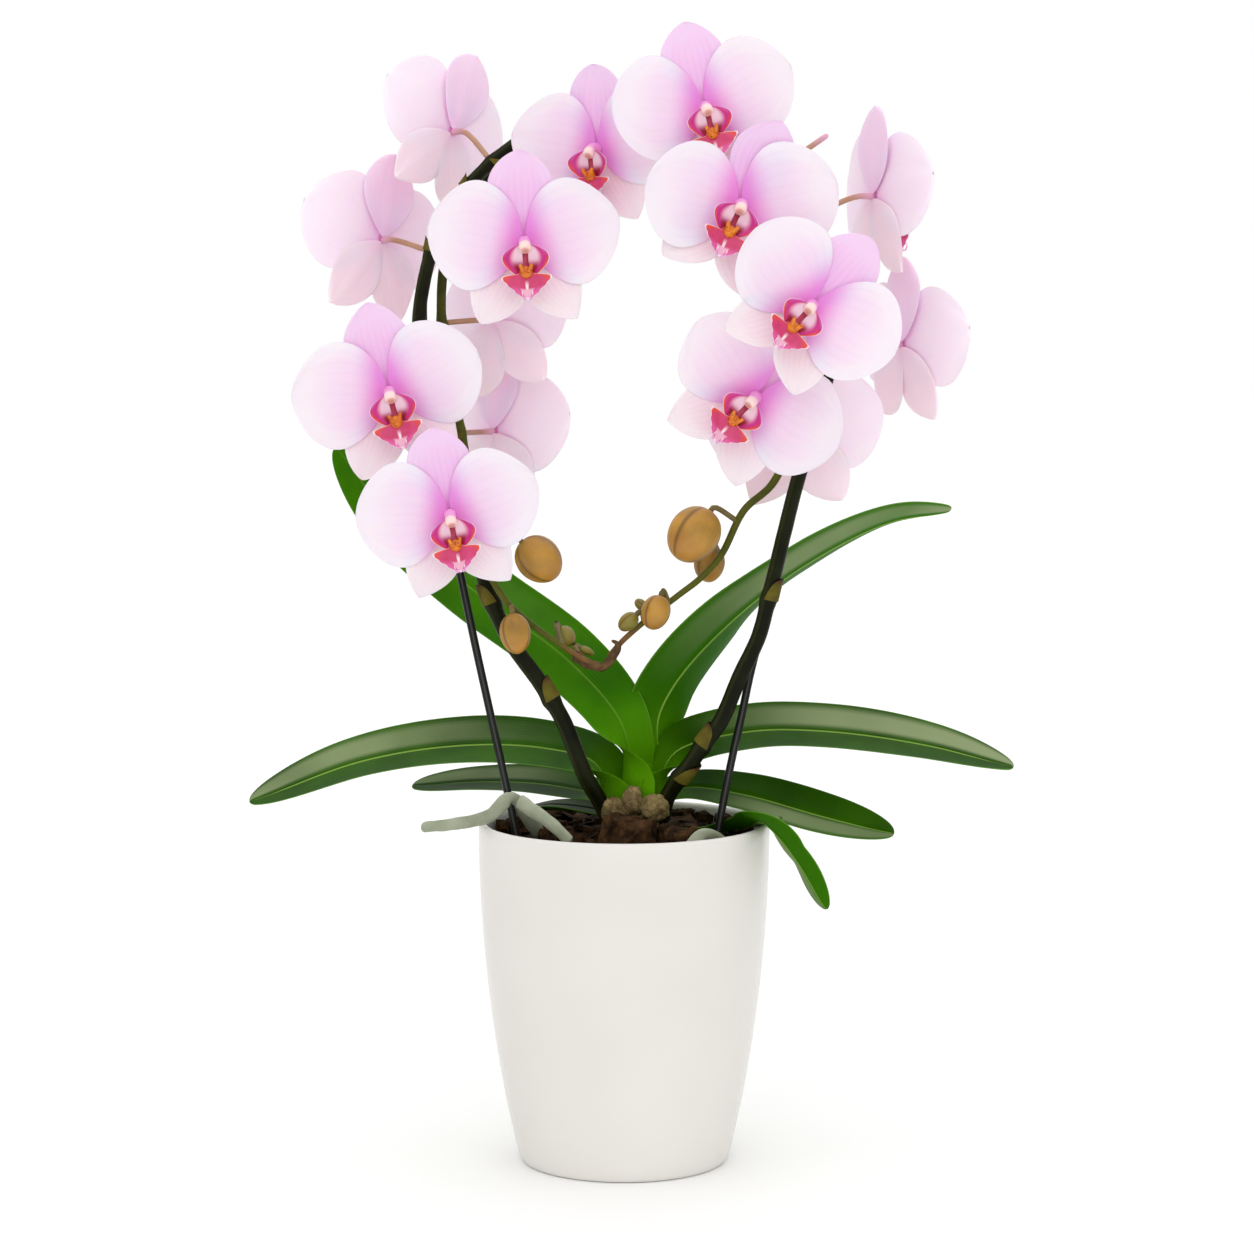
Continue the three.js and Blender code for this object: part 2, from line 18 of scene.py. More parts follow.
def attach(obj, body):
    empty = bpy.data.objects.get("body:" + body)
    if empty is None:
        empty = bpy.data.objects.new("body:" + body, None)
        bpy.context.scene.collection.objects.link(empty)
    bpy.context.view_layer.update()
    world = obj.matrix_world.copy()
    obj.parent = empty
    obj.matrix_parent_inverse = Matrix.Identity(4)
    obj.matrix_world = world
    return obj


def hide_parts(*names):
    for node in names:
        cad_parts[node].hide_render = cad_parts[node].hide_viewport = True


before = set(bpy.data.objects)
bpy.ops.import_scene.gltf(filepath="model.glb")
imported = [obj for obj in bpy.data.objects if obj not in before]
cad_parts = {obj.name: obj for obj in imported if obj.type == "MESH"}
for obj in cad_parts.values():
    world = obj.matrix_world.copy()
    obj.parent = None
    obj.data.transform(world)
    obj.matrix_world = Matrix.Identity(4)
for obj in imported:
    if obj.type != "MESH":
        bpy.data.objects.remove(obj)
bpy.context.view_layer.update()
MM = 0.001
WELD = 1e-4
print("nodes in the frame:", len(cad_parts))

# %% [markdown]
# ## Places on the plant
#
# The plant is measured from the top of the bark, which lies a little below the rim of the pot.
# Flowers follow the wire hoop and roots follow the rim, so most places are given as an angle round one of
# those two circles and a distance from it. Changing the hoop or the rim then moves what hangs on it.

# %% Sizes and places
BARK = 156
RIM_RADIUS = 70
HOOP_RADIUS = 97
HOOP_CENTRE = 249


def by_hoop(outside, degrees, depth):
    turn = math.radians(degrees)
    reach = HOOP_RADIUS + outside
    return (reach * math.cos(turn), depth, HOOP_CENTRE + reach * math.sin(turn))


def by_rim(outside, degrees, above):
    turn = math.radians(degrees)
    reach = RIM_RADIUS + outside
    return (reach * math.cos(turn), reach * math.sin(turn), 9 + above)


def placed(points):
    return [Vector(p) + Vector((0, 0, BARK)) for p in points]


print("middle of the hoop above the table:", HOOP_CENTRE + BARK, "mm")

# %% [markdown]
# ## A line through points
#
# Stems, roots and leaves all follow a soft line through a few places. The line is worked out once, at many
# small steps, and is then read by how far along it we are, from 0 to 1. Reading it by length keeps the
# rings of a stem evenly spaced, however unevenly its points were chosen.


# %% Lines
class Line:
    def __init__(self, points, steps=24):
        ends = [2 * points[0] - points[1]] + list(points) + [2 * points[-1] - points[-2]]
        self.spots = []
        for a, b, c, d in zip(ends, ends[1:], ends[2:], ends[3:]):
            ab, bc, cd = (max((q - p).length, 1e-6) ** 0.5 for p, q in ((a, b), (b, c), (c, d)))
            into = bc * ((b - a) / ab - (c - a) / (ab + bc) + (c - b) / bc)
            out = bc * ((c - b) / bc - (d - b) / (bc + cd) + (d - c) / cd)
            for i in range(steps):
                t = i / steps
                self.spots.append(
                    b * (2 * t**3 - 3 * t**2 + 1)
                    + into * (t**3 - 2 * t**2 + t)
                    + c * (3 * t**2 - 2 * t**3)
                    + out * (t**3 - t**2)
                )
        self.spots.append(Vector(points[-1]))
        self.reach = [0.0]
        for p, q in zip(self.spots, self.spots[1:]):
            self.reach.append(self.reach[-1] + (q - p).length)
        self.length = self.reach[-1]

    def at(self, t):
        want = min(max(t, 0), 1) * self.length
        low, high = 0, len(self.reach) - 1
        while high - low > 1:
            middle = (low + high) // 2
            if self.reach[middle] <= want:
                low = middle
            else:
                high = middle
        span = self.reach[high] - self.reach[low]
        return self.spots[low].lerp(self.spots[high], (want - self.reach[low]) / max(span, 1e-9))

    def along(self, t):
        return (self.at(t + 0.01) - self.at(t - 0.01)).normalized()

    def nearest(self, spot):
        best = min(range(len(self.spots)), key=lambda i: (self.spots[i] - spot).length)
        return self.reach[best] / self.length


def line_of(*places):
    return Line([Vector(place) for place in places])


print("a straight line 10 mm long measures", line_of((0, 0, 0), (10, 0, 0)).length)

# %% [markdown]
# ## Skins rolled from a grid
#
# Nearly every part of a plant is a closed skin that runs from one end to the other: a stem, a leaf, a petal.
# Blender's grid operator makes the faces, and a short formula then says where each point of the grid goes.
# The grid is rolled up on itself, its two long sides are welded and each end is drawn to a point.
# Each point also keeps three numbers in an attribute called `form`: how far across the piece it is (−1 to 1),
# how far along (0 to 1) and which side it is on (−1 under, 1 above). The finishes read them later.


# %% Skins
def eased(t):
    return 0.5 - 0.5 * math.cos(math.pi * t)


def start_piece():
    bm = bmesh.new()
    bm.verts.layers.float_vector.new("form")
    return bm


def skin(bm, around, along, shape, material=0, ease=True):
    form = bm.verts.layers.float_vector["form"]
    grid = bmesh.ops.create_grid(bm, x_segments=around, y_segments=along, size=0.5)["verts"]
    faces = {face for vert in grid for face in vert.link_faces}
    for face in faces:
        face.material_index = material
    for vert in grid:
        turn = (vert.co.x + 0.5) * math.tau
        t = vert.co.y + 0.5
        if ease:
            t = eased(t)
        vert[form] = (math.cos(turn), t, math.sin(turn))
        vert.co = shape(*vert[form])
    bmesh.ops.remove_doubles(bm, verts=grid, dist=WELD)


def tube(bm, line, radius, around=12, along=24, flat=1.0, material=0, bumps=0.0, seed=0):
    """Round stem; radius(t) is its half width, and flat makes it thinner from front to back."""

    def shape(s, t, side):
        way = line.along(t)
        aside = way.cross(Vector((0.13, 1, 0.21))).normalized()
        front = aside.cross(way)
        spot = line.at(t)
        r = radius(t)
        if bumps:
            r *= 1 + bumps * noise.noise(Vector((s * 1.5 + seed, t * line.length / 4, side * 1.5)))
        return spot + aside * (s * r) + front * (side * r * flat)

    skin(bm, around, along, shape, material)


def round_ends(t, full, blunt=0.06):
    """full in the middle, and drawn in to nothing over the last part of each end."""
    end = min(t, 1 - t) / blunt
    return full * (math.sqrt(1 - (1 - end) ** 2) if end < 1 else 1)


print("a grid of 8 by 4 eases its middle row to", round(eased(0.5), 2))

# %% [markdown]
# ## Finished pieces
#
# A finished piece gets outward faces, smooth shading and its materials. It then rides on the model's only
# body and stands for its node.


# %% Finishing a piece
made = []


def finish_piece(name, bm, materials, nodes, smooth=True):
    bmesh.ops.recalc_face_normals(bm, faces=bm.faces)
    bmesh.ops.scale(bm, vec=(MM, MM, MM), verts=bm.verts)
    mesh = bpy.data.meshes.new(name)
    for face in bm.faces:
        face.smooth = smooth
    bm.to_mesh(mesh)
    bm.free()
    for material in materials:
        mesh.materials.append(material)
    piece = bpy.data.objects.new(name, mesh)
    bpy.context.scene.collection.objects.link(piece)
    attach(piece, "root")
    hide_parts(*nodes)
    made.append(piece)
    return piece


# %% [markdown]
# ## Building finishes
#
# A finish is a small graph of shader nodes. These helpers keep each line of it short: `add` makes a node and
# joins its inputs, `calc` does sums and `mix` blends two colours. `form` reads the three numbers that each
# skin keeps, and `spot` the place in the object's own space.


# %% Node helpers
def rgb(red, green, blue):
    """A colour as it looks on a screen, 0 to 255, turned into the even scale that light is worked out in."""
    share = [c / 255 for c in (red, green, blue)]
    return tuple(c / 12.92 if c <= 0.04045 else ((c + 0.055) / 1.055) ** 2.4 for c in share) + (1.0,)


def add(tree, kind, inputs=None, **settings):
    node = tree.nodes.new(kind)
    for name, value in settings.items():
        setattr(node, name, value)
    for name, value in (inputs or {}).items():
        if isinstance(value, bpy.types.NodeSocket):
            tree.links.new(value, node.inputs[name])
        else:
            node.inputs[name].default_value = value
    return node


def calc(tree, operation, *values):
    node = add(tree, "ShaderNodeMath", dict(enumerate(values)), operation=operation)
    return node.outputs[0]


def fade(tree, value, start, end):
    """0 before start, 1 after end and a soft step between; start may be the larger one."""
    low, high, first, last = (start, end, 0.0, 1.0) if start < end else (end, start, 1.0, 0.0)
    node = add(
        tree,
        "ShaderNodeMapRange",
        {"Value": value, "From Min": low, "From Max": high, "To Min": first, "To Max": last},
        interpolation_type="SMOOTHSTEP",
    )
    return node.outputs[0]


def times(tree, a, b):
    return calc(tree, "MULTIPLY", a, b)


def mix(tree, share, a, b):
    node = add(tree, "ShaderNodeMix", {0: share, 6: a, 7: b}, data_type="RGBA", blend_type="MIX")
    return node.outputs[2]


def tint(tree, colour, mask, share, tone):
    """Lays a tone over a colour where the mask is 1, but only by the share given."""
    return mix(tree, times(tree, mask, share), colour, tone)


def form(tree):
    """The sockets for across, along and side."""
    read = add(tree, "ShaderNodeAttribute", attribute_name="form")
    split = add(tree, "ShaderNodeSeparateXYZ", {0: read.outputs["Vector"]})
    return split.outputs


def spot(tree):
    return add(tree, "ShaderNodeTexCoord").outputs["Object"]


def new_finish(name, **values):
    material = bpy.data.materials.new(name)
    material.use_nodes = True
    tree = material.node_tree
    shader = tree.nodes["Principled BSDF"]
    for key, value in values.items():
        shader.inputs[key.replace("_", " ")].default_value = value
    return material, tree, shader


def connect(tree, shader, colour=None, roughness=None, height=None, strength=0.3, depth=0.0004):
    if colour is not None:
        tree.links.new(colour, shader.inputs["Base Color"])
    if roughness is not None:
        tree.links.new(roughness, shader.inputs["Roughness"])
    if height is not None:
        bump = add(tree, "ShaderNodeBump", {"Height": height, "Strength": strength, "Distance": depth})
        tree.links.new(bump.outputs[0], shader.inputs["Normal"])


# %% [markdown]
# ## Two shared effects
#
# Living surfaces are never one even tone, and petals, leaves and bracts all carry fine lines that run from
# foot to tip. Both effects are node groups, so that they are drawn once and used by many finishes.
# `Mottle` gives a soft cloudy value. `Long veins` gives thin lines, with a number, wander and sharpness to set.


# %% Shared node groups
def new_group(name, sockets_in, sockets_out):
    tree = bpy.data.node_groups.new(name, "ShaderNodeTree")
    for label, kind, value in sockets_in:
        socket = tree.interface.new_socket(name=label, in_out="INPUT", socket_type=kind)
        if value is not None:
            socket.default_value = value
    for label, kind in sockets_out:
        tree.interface.new_socket(name=label, in_out="OUTPUT", socket_type=kind)
    return tree, tree.nodes.new("NodeGroupInput"), tree.nodes.new("NodeGroupOutput")


MOTTLE, start, end = new_group(
    "Mottle",
    [
        ("Place", "NodeSocketVector", None),
        ("Scale", "NodeSocketFloat", 60.0),
        ("Detail", "NodeSocketFloat", 3.0),
        ("Contrast", "NodeSocketFloat", 1.0),
    ],
    [("Value", "NodeSocketFloat")],
)
cloud = add(
    MOTTLE,
    "ShaderNodeTexNoise",
    {"Vector": start.outputs["Place"], "Scale": start.outputs["Scale"], "Detail": start.outputs["Detail"]},
)
level = calc(MOTTLE, "SUBTRACT", cloud.outputs[0], 0.5)
level = times(MOTTLE, level, start.outputs["Contrast"])
level = add(MOTTLE, "ShaderNodeMath", {0: level, 1: 0.5}, operation="ADD", use_clamp=True)
MOTTLE.links.new(level.outputs[0], end.inputs["Value"])

VEINS, start, end = new_group(
    "Long veins",
    [
        ("Across", "NodeSocketFloat", 0.0),
        ("Along", "NodeSocketFloat", 0.0),
        ("Count", "NodeSocketFloat", 5.0),
        ("Wander", "NodeSocketFloat", 0.1),
        ("Sharpness", "NodeSocketFloat", 6.0),
    ],
    [("Line", "NodeSocketFloat")],
)
place = add(VEINS, "ShaderNodeCombineXYZ", {0: start.outputs["Across"], 1: start.outputs["Along"]})
drift = add(VEINS, "ShaderNodeTexNoise", {"Vector": place.outputs[0], "Scale": 2.2, "Detail": 1.0})
drift = calc(VEINS, "SUBTRACT", drift.outputs[0], 0.5)
drift = times(VEINS, drift, start.outputs["Wander"])
phase = calc(VEINS, "ADD", start.outputs["Across"], drift)
phase = times(VEINS, phase, start.outputs["Count"])
phase = times(VEINS, phase, math.pi)
wave = calc(VEINS, "ABSOLUTE", calc(VEINS, "COSINE", phase))
wave = calc(VEINS, "POWER", wave, start.outputs["Sharpness"])
VEINS.links.new(wave, end.inputs["Line"])


def mottle(tree, place, scale, detail=3.0, contrast=1.0):
    node = add(tree, "ShaderNodeGroup", node_tree=MOTTLE)
    tree.links.new(place, node.inputs["Place"])
    for name, value in (("Scale", scale), ("Detail", detail), ("Contrast", contrast)):
        node.inputs[name].default_value = value
    return node.outputs["Value"]


def veins(tree, across, along, count, wander, sharpness):
    node = add(tree, "ShaderNodeGroup", node_tree=VEINS)
    tree.links.new(across, node.inputs["Across"])
    tree.links.new(along, node.inputs["Along"])
    for name, value in (("Count", count), ("Wander", wander), ("Sharpness", sharpness)):
        node.inputs[name].default_value = value
    return node.outputs["Line"]


print("shared groups:", MOTTLE.name, "and", VEINS.name)

# %% [markdown]
# ## The glazed pot
#
# A plain planter is thrown or cast round an axis, so it is made the same way here: one profile, spun round.
# The wall swells gently from the foot to the rim, the rim is rounded over and a low foot ring lifts it off the
# table. The glaze is a warm white that pools a touch greyer here and there, under a very faint clear coat.

# %% Glaze and pot
glaze, tree, shader = new_finish(
    "glaze", Roughness=0.22, Specular_IOR_Level=0.12, Coat_Weight=0.05, Coat_Roughness=0.08
)
cloudy = mottle(tree, spot(tree), 9.0, 2.0, 1.4)
colour = mix(tree, cloudy, rgb(224, 220, 214), rgb(237, 234, 229))
fine = mottle(tree, spot(tree), 260.0, 2.0, 1.0)
connect(tree, shader, colour, None, fine, 0.05, 0.0002)

POT_HEIGHT = 165
BASE_RADIUS = 50
POT_WALL = 4.5


def outer_radius(height):
    share = (height / POT_HEIGHT) ** 0.86
    return BASE_RADIUS + (RIM_RADIUS - BASE_RADIUS) * math.sin(share * math.pi / 2)


def spun(bm, profile, steps):
    """Turns a profile of (radius, height) about the upright axis into a closed body."""
    verts = [bm.verts.new((max(r, 0), 0, z)) for r, z in profile]
    edges = [bm.edges.new(pair) for pair in zip(verts, verts[1:])]
    bmesh.ops.spin(
        bm, geom=verts + edges, axis=(0, 0, 1), cent=(0, 0, 0), angle=math.tau, steps=steps, use_merge=True
    )
    bmesh.ops.remove_doubles(bm, verts=bm.verts, dist=WELD)


profile = [(0, 2), (40, 2), (42.5, 0.3), (44, 0), (48, 0), (49.6, 0.5), (50.4, 2)]
profile += [(outer_radius(h), h) for h in [5, 9] + list(range(14, 159, 6)) + [160]]
for step in range(1, 8):
    turn = math.pi * step / 7
    middle = RIM_RADIUS - POT_WALL / 2
    profile.append((middle + POT_WALL / 2 * math.cos(turn), 162.7 + 2.3 * math.sin(turn)))
profile += [(outer_radius(h) - POT_WALL, h) for h in (158, 150, 130, 100, 70, 40, 18)]
profile += [(42, 11), (36, 9), (0, 9)]
bm = start_piece()
spun(bm, profile, 96)
pot = finish_piece("planter", bm, [glaze], ["pot"])
print("pot faces:", len(pot.data.polygons))

# %% [markdown]
# ## Bark
#
# Orchids grow in chips of bark and not in soil. The bed is a dark, uneven disc, and chips are strewn over it.
# A chip is the convex hull of a handful of random points: that gives the flat, broken faces of real bark.
# More chips are banked up along the back of the rim. The three largest, at the foot of the plant, start from
# more points, are cut finer and are then made lumpy with noise.

# %% Bark bed and chips
bark, tree, shader = new_finish("bark", Roughness=0.85, Specular_IOR_Level=0.08)
rough = mottle(tree, spot(tree), 140.0, 6.0, 3.2)
broad = mottle(tree, spot(tree), 35.0, 2.0, 2.0)
colour = mix(tree, rough, rgb(8, 5, 2), rgb(92, 64, 38))
colour = tint(tree, colour, broad, 0.5, rgb(24, 16, 9))
connect(tree, shader, colour, None, rough, 0.8, 0.0012)

LOOSE_CHIPS = 240
RIM_CHIPS = 46
BED_TOP = BARK - 0.8
BED_FOOT = BARK - 40
random.seed(11)


def chip(bm, middle, half, points):
    """A broken piece of bark round middle; half is its reach along x, y and z before it is turned."""
    turn = Matrix.Rotation(random.uniform(0, math.tau), 3, "Z")
    turn = turn @ Matrix.Rotation(random.uniform(-0.3, 0.3), 3, "X")
    verts = []
    for _ in range(points):
        way = Vector([random.uniform(-1, 1) for _ in range(3)])
        way /= max(abs(c) for c in way) ** 0.8
        verts.append(bm.verts.new(middle + turn @ Vector([w * h for w, h in zip(way, half)])))
    hull = bmesh.ops.convex_hull(bm, input=verts)
    loose = [v for v in hull["geom_interior"] + hull["geom_unused"] if isinstance(v, bmesh.types.BMVert)]
    bmesh.ops.delete(bm, geom=list(set(loose)), context="VERTS")


bm = start_piece()
bed_radius = outer_radius(BARK) - POT_WALL - 0.3
profile = [(0, BED_FOOT), (bed_radius - 8, BED_FOOT), (bed_radius - 2, BARK - 10), (bed_radius, BARK - 3)]
profile += [(bed_radius - 1, BED_TOP)] + [(bed_radius * (1 - i / 14), BED_TOP) for i in range(1, 14)]
profile += [(0, BED_TOP)]
spun(bm, profile, 56)
for vert in bm.verts:
    if vert.co.z > BARK - 5:
        vert.co.z += 1.4 * noise.noise(vert.co * 0.16) - 0.8
for _ in range(LOOSE_CHIPS):
    turn = random.uniform(0, math.tau)
    reach = (bed_radius - 7) * math.sqrt(random.random())
    middle = Vector((reach * math.cos(turn), reach * math.sin(turn), BARK - 1.2))
    size = random.uniform(2.8, 7)
    middle.z += 8 * max(0, middle.y / bed_radius)
    chip(bm, middle, (size * 1.3, size * 0.8, random.uniform(1.4, 4)), 12)
for _ in range(RIM_CHIPS):
    turn = math.radians(random.uniform(8, 172))
    reach = bed_radius - 5.5
    middle = Vector((reach * math.cos(turn), reach * math.sin(turn), BARK + 3.5))
    size = random.uniform(3.4, 5)
    chip(bm, middle, (size * 1.2, size * 0.8, 4), 12)
finish_piece("bark", bm, [bark], ["bark_bed"], smooth=False)

LARGE_CHIPS = [
    ((2, -28, 6), (13, 8, 9)),
    ((25, -27, 4), (12, 8, 7)),
    ((-30, -12, 2), (10, 7, 4)),
]
for number, (middle, half) in enumerate(LARGE_CHIPS, 1):
    bm = start_piece()
    chip(bm, placed([middle])[0], half, 40)
    bmesh.ops.bevel(bm, geom=bm.edges, offset=0.5, segments=1, profile=0.5, affect="EDGES", material=-1)
    bmesh.ops.triangulate(bm, faces=bm.faces)
    bmesh.ops.subdivide_edges(bm, edges=bm.edges, cuts=3, use_grid_fill=True)
    for vert in bm.verts:
        lumps = 2.4 * noise.noise(vert.co * 0.22) + 0.9 * noise.noise(vert.co * 0.8)
        vert.co += Vector((0.4, 0.7, 1)) * lumps
    finish_piece(f"large_chip_{number}", bm, [bark], [f"bark_chip_{number}"], smooth=False)
print("chips strewn:", LOOSE_CHIPS + RIM_CHIPS, "and", len(LARGE_CHIPS), "large ones")

# %% [markdown]
# ## Leaves
#
# Orchid leaves are thick, leathery straps with a folded-in midrib, glossy dark green above and paler beneath.
# Each one is a skin along a line: its half width comes from a rounded formula, the middle sinks into a channel
# and a tilt turns its face towards the light. The finish adds a pale line on the midrib (`rib` says how pale),
# a lighter margin, fine long lines and one broad painted sheen: a silvery painted reflection of the soft sky on
# waxy skin, laid into the colour. The painted sheen lies on one half of the leaf only, and `sheen_side` says
# which.

# %% Leaf finish
def leaf_finish(name, dark, bright, sheen_share, sheen_side, rib):
    material, tree, shader = new_finish(name, Roughness=0.45, Specular_IOR_Level=0.03)
    across, along, side = form(tree)
    wide = calc(tree, "ABSOLUTE", across)
    patchy = mottle(tree, spot(tree), 22.0, 3.0, 1.8)
    colour = mix(tree, patchy, dark, bright)
    lines = veins(tree, across, along, 11.0, 0.05, 3.0)
    colour = tint(tree, colour, lines, 0.1, rgb(92, 150, 36))
    colour = tint(tree, colour, fade(tree, side, 0.1, -0.25), 0.8, rgb(50, 108, 2))
    # painted sheen: a silvery painted reflection laid into the colour, on one half of the leaf, in streaks,
    # stronger towards the tip
    half = times(tree, across, sheen_side)
    sheen = times(tree, fade(tree, half, 0.05, 0.3), fade(tree, half, 1.0, 0.7))
    streak = fade(tree, mottle(tree, spot(tree), 12.0, 2.0, 3.2), -0.8, 1.0)
    sheen = times(tree, sheen, streak)
    sheen = times(tree, sheen, fade(tree, along, 0.2, 0.6))
    colour = tint(tree, colour, sheen, sheen_share, rgb(148, 162, 118))
    colour = tint(tree, colour, fade(tree, wide, 0.045, 0.015), rib, rgb(150, 190, 80))
    colour = tint(tree, colour, fade(tree, wide, 0.95, 0.995), 0.5, rgb(120, 165, 70))
    colour = tint(tree, colour, fade(tree, along, 0.24, 0.04), 0.9, rgb(92, 156, 6))
    connect(tree, shader, colour, None, lines, 0.06, 0.0004)
    return material


leaf = leaf_finish("leaf", rgb(18, 54, 0), rgb(54, 102, 0), 0.75, -1.0, 0.7)
right_leaf = leaf_finish("right_leaf", rgb(18, 54, 0), rgb(54, 102, 0), 0.85, 1.0, 0.7)
strong_sheen_leaf = leaf_finish("strong_sheen_leaf", rgb(22, 62, 0), rgb(56, 114, 2), 0.85, -1.0, 0.8)
young_leaf = leaf_finish("young_leaf", rgb(32, 88, 0), rgb(70, 138, 0), 0.08, -1.0, 0.25)
LEAF_FINISHES = {
    "leaf_left_up": young_leaf,
    "leaf_right_up": strong_sheen_leaf,
    "leaf_right_long": right_leaf,
    "leaf_right_droop": right_leaf,
}

# %% Leaf shapes
LEAVES = {
    "leaf_left_long": (
        [(-3, 4, 8), (-4, 4, 24), (-13, 8, 36.5), (-40, 17, 43), (-80, 18, 44), (-128, 11, 37), (-180, 0, 18)],
        24, (26, 14), 13),
    "leaf_left_low": (
        [(2, 11, 17), (-18, 18, 21), (-42, 26, 24), (-72, 31, 24), (-104, 33, 21)],
        19, (14, 10), 0),
    "leaf_left_under": ([(-2, 10, 9), (-18, 14, 13), (-36, 18, 14), (-50, 22, 11)], 11, (6, 0), 0),
    "leaf_left_up": (
        [(6, 3, 16), (6, 3, 36), (-3, 8, 59), (-29, 25, 86), (-72, 40, 116), (-112, 51, 149), (-142, 58, 186)],
        20, (44, 38), 12),
    "leaf_right_up": (
        [(12, 17, 20), (12, 20, 44), (22, 23, 72), (51, 29, 105), (88, 41, 132), (130, 49, 152),
         (161, 53, 156)],
        22, (-43, -18), 10),
    "leaf_right_long": (
        [(12, 5, 10), (14, 6, 28), (25, 10, 42), (60, 16, 51), (98, 18, 51), (146, 11, 45), (187, 0, 35)],
        24, (26, 13), 13),
    "leaf_right_low": (
        [(10, 9, 18), (30, 11, 24), by_rim(-11.5, 8, 12), (94, 0, 12), (129, -10, 4)],
        18, (22, 24), 0),
    "leaf_right_droop": (
        [(24, 4, 4), (44, 3, 5), (59, -10, 9.5), by_rim(3, -24, 6), by_rim(20, -25, -10), by_rim(37, -27, -34)],
        11, (-10, -40), 0),
}


def soft_step(share):
    share = min(max(share, 0), 1)
    return share * share * (3 - 2 * share)


def leaf_shape(line, half, tilt, clasp):
    """clasp is the half width of a foot that folds round the crown; 0 is a leaf that only leaves it."""
    away = -1 if line.spots[-1].x < 0 else 1

    def shape(s, t, side):
        lean = math.radians(tilt[0] + (tilt[1] - tilt[0]) * t)
        way = line.along(t)
        face = Vector((0, -math.sin(lean), math.cos(lean)))
        aside = face.cross(way).normalized()
        width = half * math.sqrt(max(0, 1 - abs(2 * t**1.15 - 1) ** 2.4))
        foot = 1 - soft_step((t - 0.05) / 0.14) if clasp else 0
        if foot:
            wrap = Vector((0, away, 0))
            wrap = (wrap - way * wrap.dot(way)).normalized()
            aside = aside.lerp(wrap, foot).normalized()
            width += (clasp * min(1, t / 0.01) ** 0.5 - width) * foot
        up = way.cross(aside).normalized()
        channel = (0.16 + 0.95 * foot) * width * (s * s - 0.4)
        channel -= 0.9 * math.exp(-((s / 0.07) ** 2)) * min(width / 12, 1)
        thick = abs(side) ** 0.7 * min(width / 5, 1) * (1.15 - 0.55 * s * s)
        wave = 0.35 * math.sin(9 * t + 2 * s) * s * s * min(width / 12, 1)
        return line.at(t) + aside * (s * width) + up * (channel + wave + math.copysign(thick, side))

    return shape


for node, (points, half, tilt, clasp) in LEAVES.items():
    bm = start_piece()
    line = Line(placed(points))
    skin(bm, 56, 72, leaf_shape(line, half, tilt, clasp))
    finish_piece("grown_" + node, bm, [LEAF_FINISHES.get(node, leaf)], [node])
    print(node, "is", round(line.length), "mm long")

# %% [markdown]
# ## The crown
#
# The leaves clasp one another at the foot of the plant, and their sheaths make a short bright green column with
# a V where two edges meet. The core is spun from a profile and pressed flat. Each sheath is a skin wrapped two
# thirds of the way round it, whose top edge drops away from its own side, so its edges cross at the front.
# Painted shade darkens each sheath along its two side edges, where they meet and overlap in the V.

# %% Crown
sheath, tree, shader = new_finish("sheath", Roughness=0.45, Specular_IOR_Level=0.35)
across, along, side = form(tree)
patchy = mottle(tree, spot(tree), 50.0, 3.0, 1.4)
colour = mix(tree, patchy, rgb(64, 122, 4), rgb(104, 160, 10))
colour = tint(tree, colour, fade(tree, along, 0.3, 0.0), 0.5, rgb(120, 140, 40))
# painted shade: the side edges of each sheath are darkened where one lies over the other
edge_shade = fade(tree, calc(tree, "ABSOLUTE", across), 0.93, 0.99)
colour = tint(tree, colour, edge_shade, 0.75, rgb(38, 74, 8))
lines = veins(tree, across, along, 9.0, 0.05, 2.0)
colour = tint(tree, colour, lines, 0.12, rgb(84, 130, 16))
connect(tree, shader, colour, None, lines, 0.08, 0.0004)

CROWN_PLACE = Vector((6, 10, BARK))
CROWN_HEIGHT = 40
bm = start_piece()
core = [(0, 0), (0.7, 0), (0.8, 0.15), (0.8, 0.42), (0.62, 0.7), (0.35, 0.9), (0, 1)]
core_line = Line([Vector((r * 9.6, 0, z * CROWN_HEIGHT)) for r, z in core])
spun(bm, [(p.x, p.z) for p in (core_line.at(i / 20) for i in range(21))], 32)
bmesh.ops.scale(bm, vec=(1, 0.8, 1), verts=bm.verts)
bmesh.ops.translate(bm, vec=CROWN_PLACE, verts=bm.verts)
core_spots = [core_line.at(0.1 + 0.9 * i / 60) for i in range(61)]


def core_radius(height):
    return min(core_spots, key=lambda p: abs(p.z - height)).x


SHEATH_REACH = 124
SHEATHS = [(180, 16, 2.0), (0, 12, 2.7)]
for facing, top, outset in SHEATHS:

    def shape(s, t, side):
        turn = math.radians(facing + s * SHEATH_REACH)
        height = t * (top - 8 * abs(s) ** 1.2) + 0.5
        reach = core_radius(height) + outset + 0.45 * math.copysign(abs(side) ** 0.7, side)
        reach += 1.4 * max(0, t - 0.6) * max(0, 1 - 1.4 * abs(s))
        return CROWN_PLACE + Vector((reach * math.cos(turn), 0.8 * reach * math.sin(turn), height))

    skin(bm, 44, 16, shape)
finish_piece("leaf_crown", bm, [sheath], ["crown"])
print("sheaths:", len(SHEATHS))

# %% [markdown]
# ## Knobs and roots
#
# Old leaf bases and root stubs make rough, scaly knobs at the foot of the crown. They start as spheres and are
# pushed about by noise, with small scales standing round their foot. The aerial roots are grey-green,
# flattened and blunt: skins along lines, over the rim.

